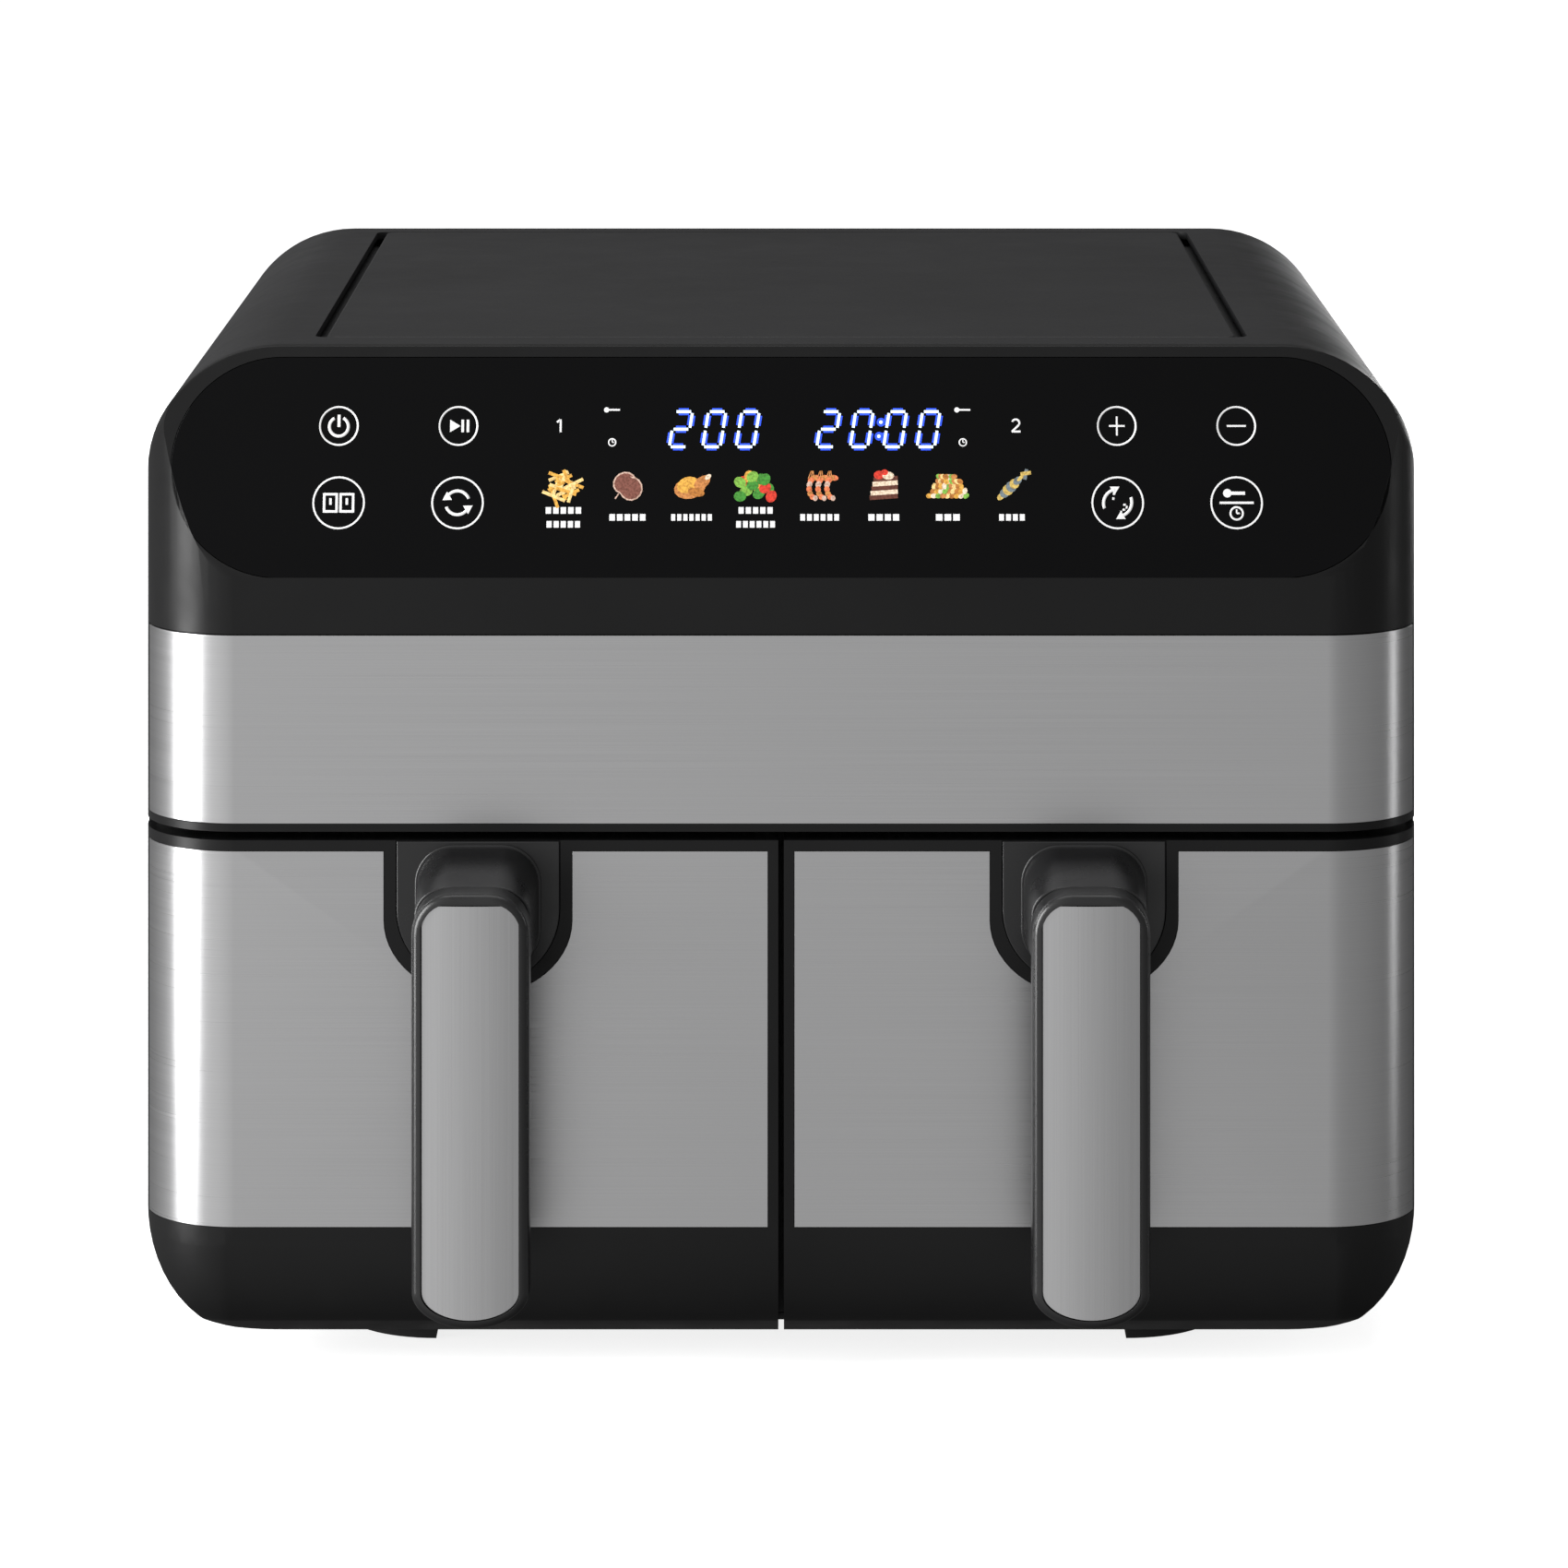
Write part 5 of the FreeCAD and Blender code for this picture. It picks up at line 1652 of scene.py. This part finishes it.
    def grip(self) -> None:
        """Upright grip with a seat for the steel strip."""
        low, high = self.grip_low, self.grip_high
        x, half = self.handle_x, self.grip_half
        mesh = block((x - half, low.y, low.z), (x + half, high.y, high.z))
        straight = high.z - low.z - self.grip_drop
        outline = half_oval(x, half, high.z, straight, self.grip_drop, self.grip_corner)
        shave(mesh, FRONT_SHEET.cuts(outline))
        rims = [e for e in mesh.edges if abs(e.verts[0].co.y - e.verts[1].co.y) < SLIT]
        soften(mesh, rims, self.grip_round, 5)
        seat = knife(mesh, ahead(mesh.faces), FRONT_SHEET.cuts(self.insert_outline(self.insert_seam)))
        out = bmesh.ops.extrude_face_region(mesh, geom=seat)
        clear(mesh, seat)
        verts = [g for g in out["geom"] if isinstance(g, bmesh.types.BMVert)]
        bmesh.ops.translate(mesh, vec=BACK * self.insert_seat, verts=verts)
        self.make("handle_grip", mesh, self.maker.finishes.handle, 0.0, self.grip_edge)

    def insert_outline(self, grow: float) -> list[Point]:
        """Outline of the steel strip in the grip.

        Args:
            grow: room added all round.

        Returns:
            The outline, in the front plane.
        """
        low, high = self.insert_low, self.insert_high
        half = (high.x - low.x) / 2 + grow
        straight = high.z - low.z - self.insert_drop + grow
        return half_oval(self.handle_x, half, high.z + grow, straight, self.insert_drop + grow,
                         self.insert_corner)

    def insert(self) -> None:
        """Brushed strip with a slight crown across its width."""
        low, high = self.insert_low, self.insert_high
        mesh = block((low.x, low.y, low.z), (high.x, low.y + self.insert_sheet, high.z))
        shave(mesh, FRONT_SHEET.cuts(self.insert_outline(0.0)))
        face = ahead(mesh.faces)
        half = (high.x - low.x) / 2
        for i in range(1, self.insert_strips):
            offset = self.handle_x - half + 2 * half * i / self.insert_strips
            edges = {e for f in face for e in f.edges}
            verts = {v for f in face for v in f.verts}
            cut = bmesh.ops.bisect_plane(mesh, geom=list(verts) + list(edges) + face,
                                         plane_co=RIGHT * offset, plane_no=RIGHT)
            face = [g for g in cut["geom"] if isinstance(g, bmesh.types.BMFace)]
        for v in {v for f in face for v in f.verts}:
            s = (v.co.x - self.handle_x) / half
            v.co.y = low.y + self.insert_crown * s * s
        self.make("handle_insert", mesh, self.maker.finishes.handle_steel, 0.0, 0.0)

    def tub(self) -> None:
        """Coated pan with rounded corners and a turned-out rim."""
        low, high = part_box("right_drawer_tub")
        rim = self.tub_rim
        x0, x1, y1 = low.x + rim, high.x - rim, high.y - rim
        mesh = block((x0, low.y, low.z), (x1, y1, high.z - self.tub_wall))
        shave(mesh, PLAN_SHEET.cuts(rectangle(x0, x1, low.y, y1, (self.tub_corner,) * 4, 12)))
        bottom = [e for e in mesh.edges if all(v.co.z < low.z + WELD for v in e.verts)]
        soften(mesh, bottom, self.tub_round, 6)
        drop(mesh, lambda face: face.normal.z > 0.99)
        brim = [e for e in mesh.edges if e.is_boundary and max(v.co.y for v in e.verts) > low.y + NEAR]
        out = bmesh.ops.extrude_edge_only(mesh, edges=brim)
        for v in (g for g in out["geom"] if isinstance(g, bmesh.types.BMVert)):
            arm = Vector((v.co.x - min(max(v.co.x, x0 + self.tub_corner), x1 - self.tub_corner),
                          v.co.y - min(max(v.co.y, low.y + self.tub_corner), y1 - self.tub_corner)))
            v.co.x += arm.x / self.tub_corner * rim
            v.co.y = max(v.co.y + arm.y / self.tub_corner * rim, low.y)
        bmesh.ops.remove_doubles(mesh, verts=mesh.verts[:], dist=NEAR)
        self.make("drawer_tub", mesh, self.maker.finishes.by_slot["pan_coating"], self.tub_wall,
                  self.thin_edge, False)

    def build(self) -> None:
        """Makes the drawer."""
        self.moulding()
        self.steel()
        self.handle_base()
        self.grip()
        self.insert()
        self.tub()


# ---------------------------------------------------------------- studio
@dataclass(frozen=True)
class Lamp:
    """Soft rectangular lamp: where it stands, its width and height in metres, and its power in watts."""

    name: str
    place: tuple[float, float, float]
    size: Point
    power: float

    def hang(self, target: Vector) -> None:
        """Adds the lamp to the scene, out of the camera's sight.

        Args:
            target: what it points at.
        """
        light = bpy.data.lights.new(self.name, "AREA")
        light.shape = "RECTANGLE"
        light.size, light.size_y = self.size
        light.energy = self.power
        lamp = bpy.data.objects.new(self.name, light)
        lamp.location = self.place
        lamp.visible_camera = False
        lamp.rotation_euler = (target - Vector(self.place)).to_track_quat("-Z", "Y").to_euler()
        bpy.context.scene.collection.objects.link(lamp)


@dataclass(frozen=True)
class Fade:
    """Change of the surround's strength along one axis of the way that a ray looks."""

    axis: str
    start: float
    end: float
    first: float
    last: float


@dataclass
class Studio:
    """Pale floor, graded surround, soft lamps and the camera."""

    floor_size: float = 30.0
    floor_glow: float = 0.82
    eye: Vector = field(default_factory=lambda: Vector((0.0023, -2.060, 0.5554)))
    aim: Vector = field(default_factory=lambda: Vector((0.0009, -0.152, 0.1802)))
    heart: Vector = field(default_factory=lambda: Vector((0, 0, 0.16)))
    lens: float = 147.06
    sensor: float = 36.0
    fades: tuple[Fade, ...] = (Fade("Y", -0.9, 0.9, 0.50, 0.10), Fade("X", -0.3, 0.3, 1.65, 0.72),
                               Fade("Z", -0.75, -0.3, 0.45, 1.0))
    lamps: tuple[Lamp, ...] = (Lamp("left_tall", (-1.55, -0.74, 0.5), (0.7, 1.6), 48),
                               Lamp("right_tall", (1.7, 0.05, 0.5), (0.12, 1.6), 2.6),
                               Lamp("rear_low", (0.5, 1.9, 0.16), (1.8, 0.28), 9),
                               Lamp("top_soft", (0, 0.3, 1.9), (1.6, 1.2), 10))

    def floor(self) -> None:
        """Pale floor that reads as white and stays out of reflections."""
        mesh = bmesh.new()
        bmesh.ops.create_grid(mesh, x_segments=1, y_segments=1, size=self.floor_size / 2)
        data = bpy.data.meshes.new("floor")
        mesh.to_mesh(data)
        mesh.free()
        board = NodeBoard("pale_floor")
        board.tint(board.pattern(0.7), (0.86, 0.86, 0.86), (0.9, 0.9, 0.9))
        board.dial({"Roughness": 0.9, "Specular IOR Level": 0.1, "Emission Color": (1, 1, 1, 1),
                    "Emission Strength": self.floor_glow})
        data.materials.append(board.material)
        floor = bpy.data.objects.new("floor", data)
        floor.visible_glossy = False
        floor.visible_diffuse = False
        bpy.context.scene.collection.objects.link(floor)

    def surround(self) -> None:
        """Graded pale room that the camera itself sees as plain white."""
        world = bpy.data.worlds.new("pale_room")
        world.use_nodes = True
        nodes, links = world.node_tree.nodes, world.node_tree.links
        place = nodes.new("ShaderNodeTexCoord")
        split = nodes.new("ShaderNodeSeparateXYZ")
        links.new(place.outputs["Generated"], split.inputs["Vector"])
        strength: Optional[bpy.types.NodeSocket] = None
        for fade in self.fades:
            ramp = nodes.new("ShaderNodeMapRange")
            for name, value in (("From Min", fade.start), ("From Max", fade.end), ("To Min", fade.first),
                                ("To Max", fade.last)):
                ramp.inputs[name].default_value = value
            links.new(split.outputs[fade.axis], ramp.inputs["Value"])
            strength = self.joined(world, "MULTIPLY", strength, ramp.outputs["Result"])
        seen = nodes.new("ShaderNodeLightPath")
        shown = self.joined(world, "MAXIMUM", strength, seen.outputs["Is Camera Ray"])
        links.new(shown, nodes["Background"].inputs["Strength"])
        nodes["Background"].inputs["Color"].default_value = (1.0, 1.0, 1.0, 1)
        bpy.context.scene.world = world

    def joined(self, world: bpy.types.World, operation: str, first: Optional[bpy.types.NodeSocket],
               second: bpy.types.NodeSocket) -> bpy.types.NodeSocket:
        """Joins two values of the surround with one Math node.

        Args:
            world: the surround.
            operation: the Math node's operation.
            first: one value, or None to pass the second on.
            second: the other value.

        Returns:
            The result's socket.
        """
        if first is None:
            return second
        node = world.node_tree.nodes.new("ShaderNodeMath")
        node.operation = operation
        world.node_tree.links.new(first, node.inputs[0])
        world.node_tree.links.new(second, node.inputs[1])
        return node.outputs[0]

    def camera(self) -> None:
        """Camera with a dropped lens board: it looks down at the fryer while uprights stay parallel."""
        data = bpy.data.cameras.new("camera")
        data.lens = self.lens
        data.sensor_width = self.sensor
        data.clip_end = 100.0
        camera = bpy.data.objects.new("camera", data)
        stand = bpy.data.objects.new("camera_stand", None)
        back = (self.eye - self.aim).normalized()
        board = Matrix((RIGHT, UP, back)).transposed().to_4x4()
        camera.parent = stand
        camera.matrix_parent_inverse = Matrix.Translation(self.eye) @ board
        for thing in (stand, camera):
            bpy.context.scene.collection.objects.link(thing)
        bpy.context.scene.camera = camera

    def build(self) -> None:
        """Sets the stage."""
        self.floor()
        self.surround()
        for lamp in self.lamps:
            lamp.hang(self.heart)
        self.camera()
        bpy.context.scene.view_settings.view_transform = "Standard"


def main() -> None:
    """Builds the fryer and its stage."""
    logging.basicConfig(level=logging.INFO, format="%(name)s %(message)s")
    form = CasingForm()
    maker = Maker(Finishes())
    Casing(form, maker).build()
    Head(form, maker).build()
    for side in Side:
        Drawer(form, maker, side).build()
    Studio().build()


if __name__ == "__main__":
    main()
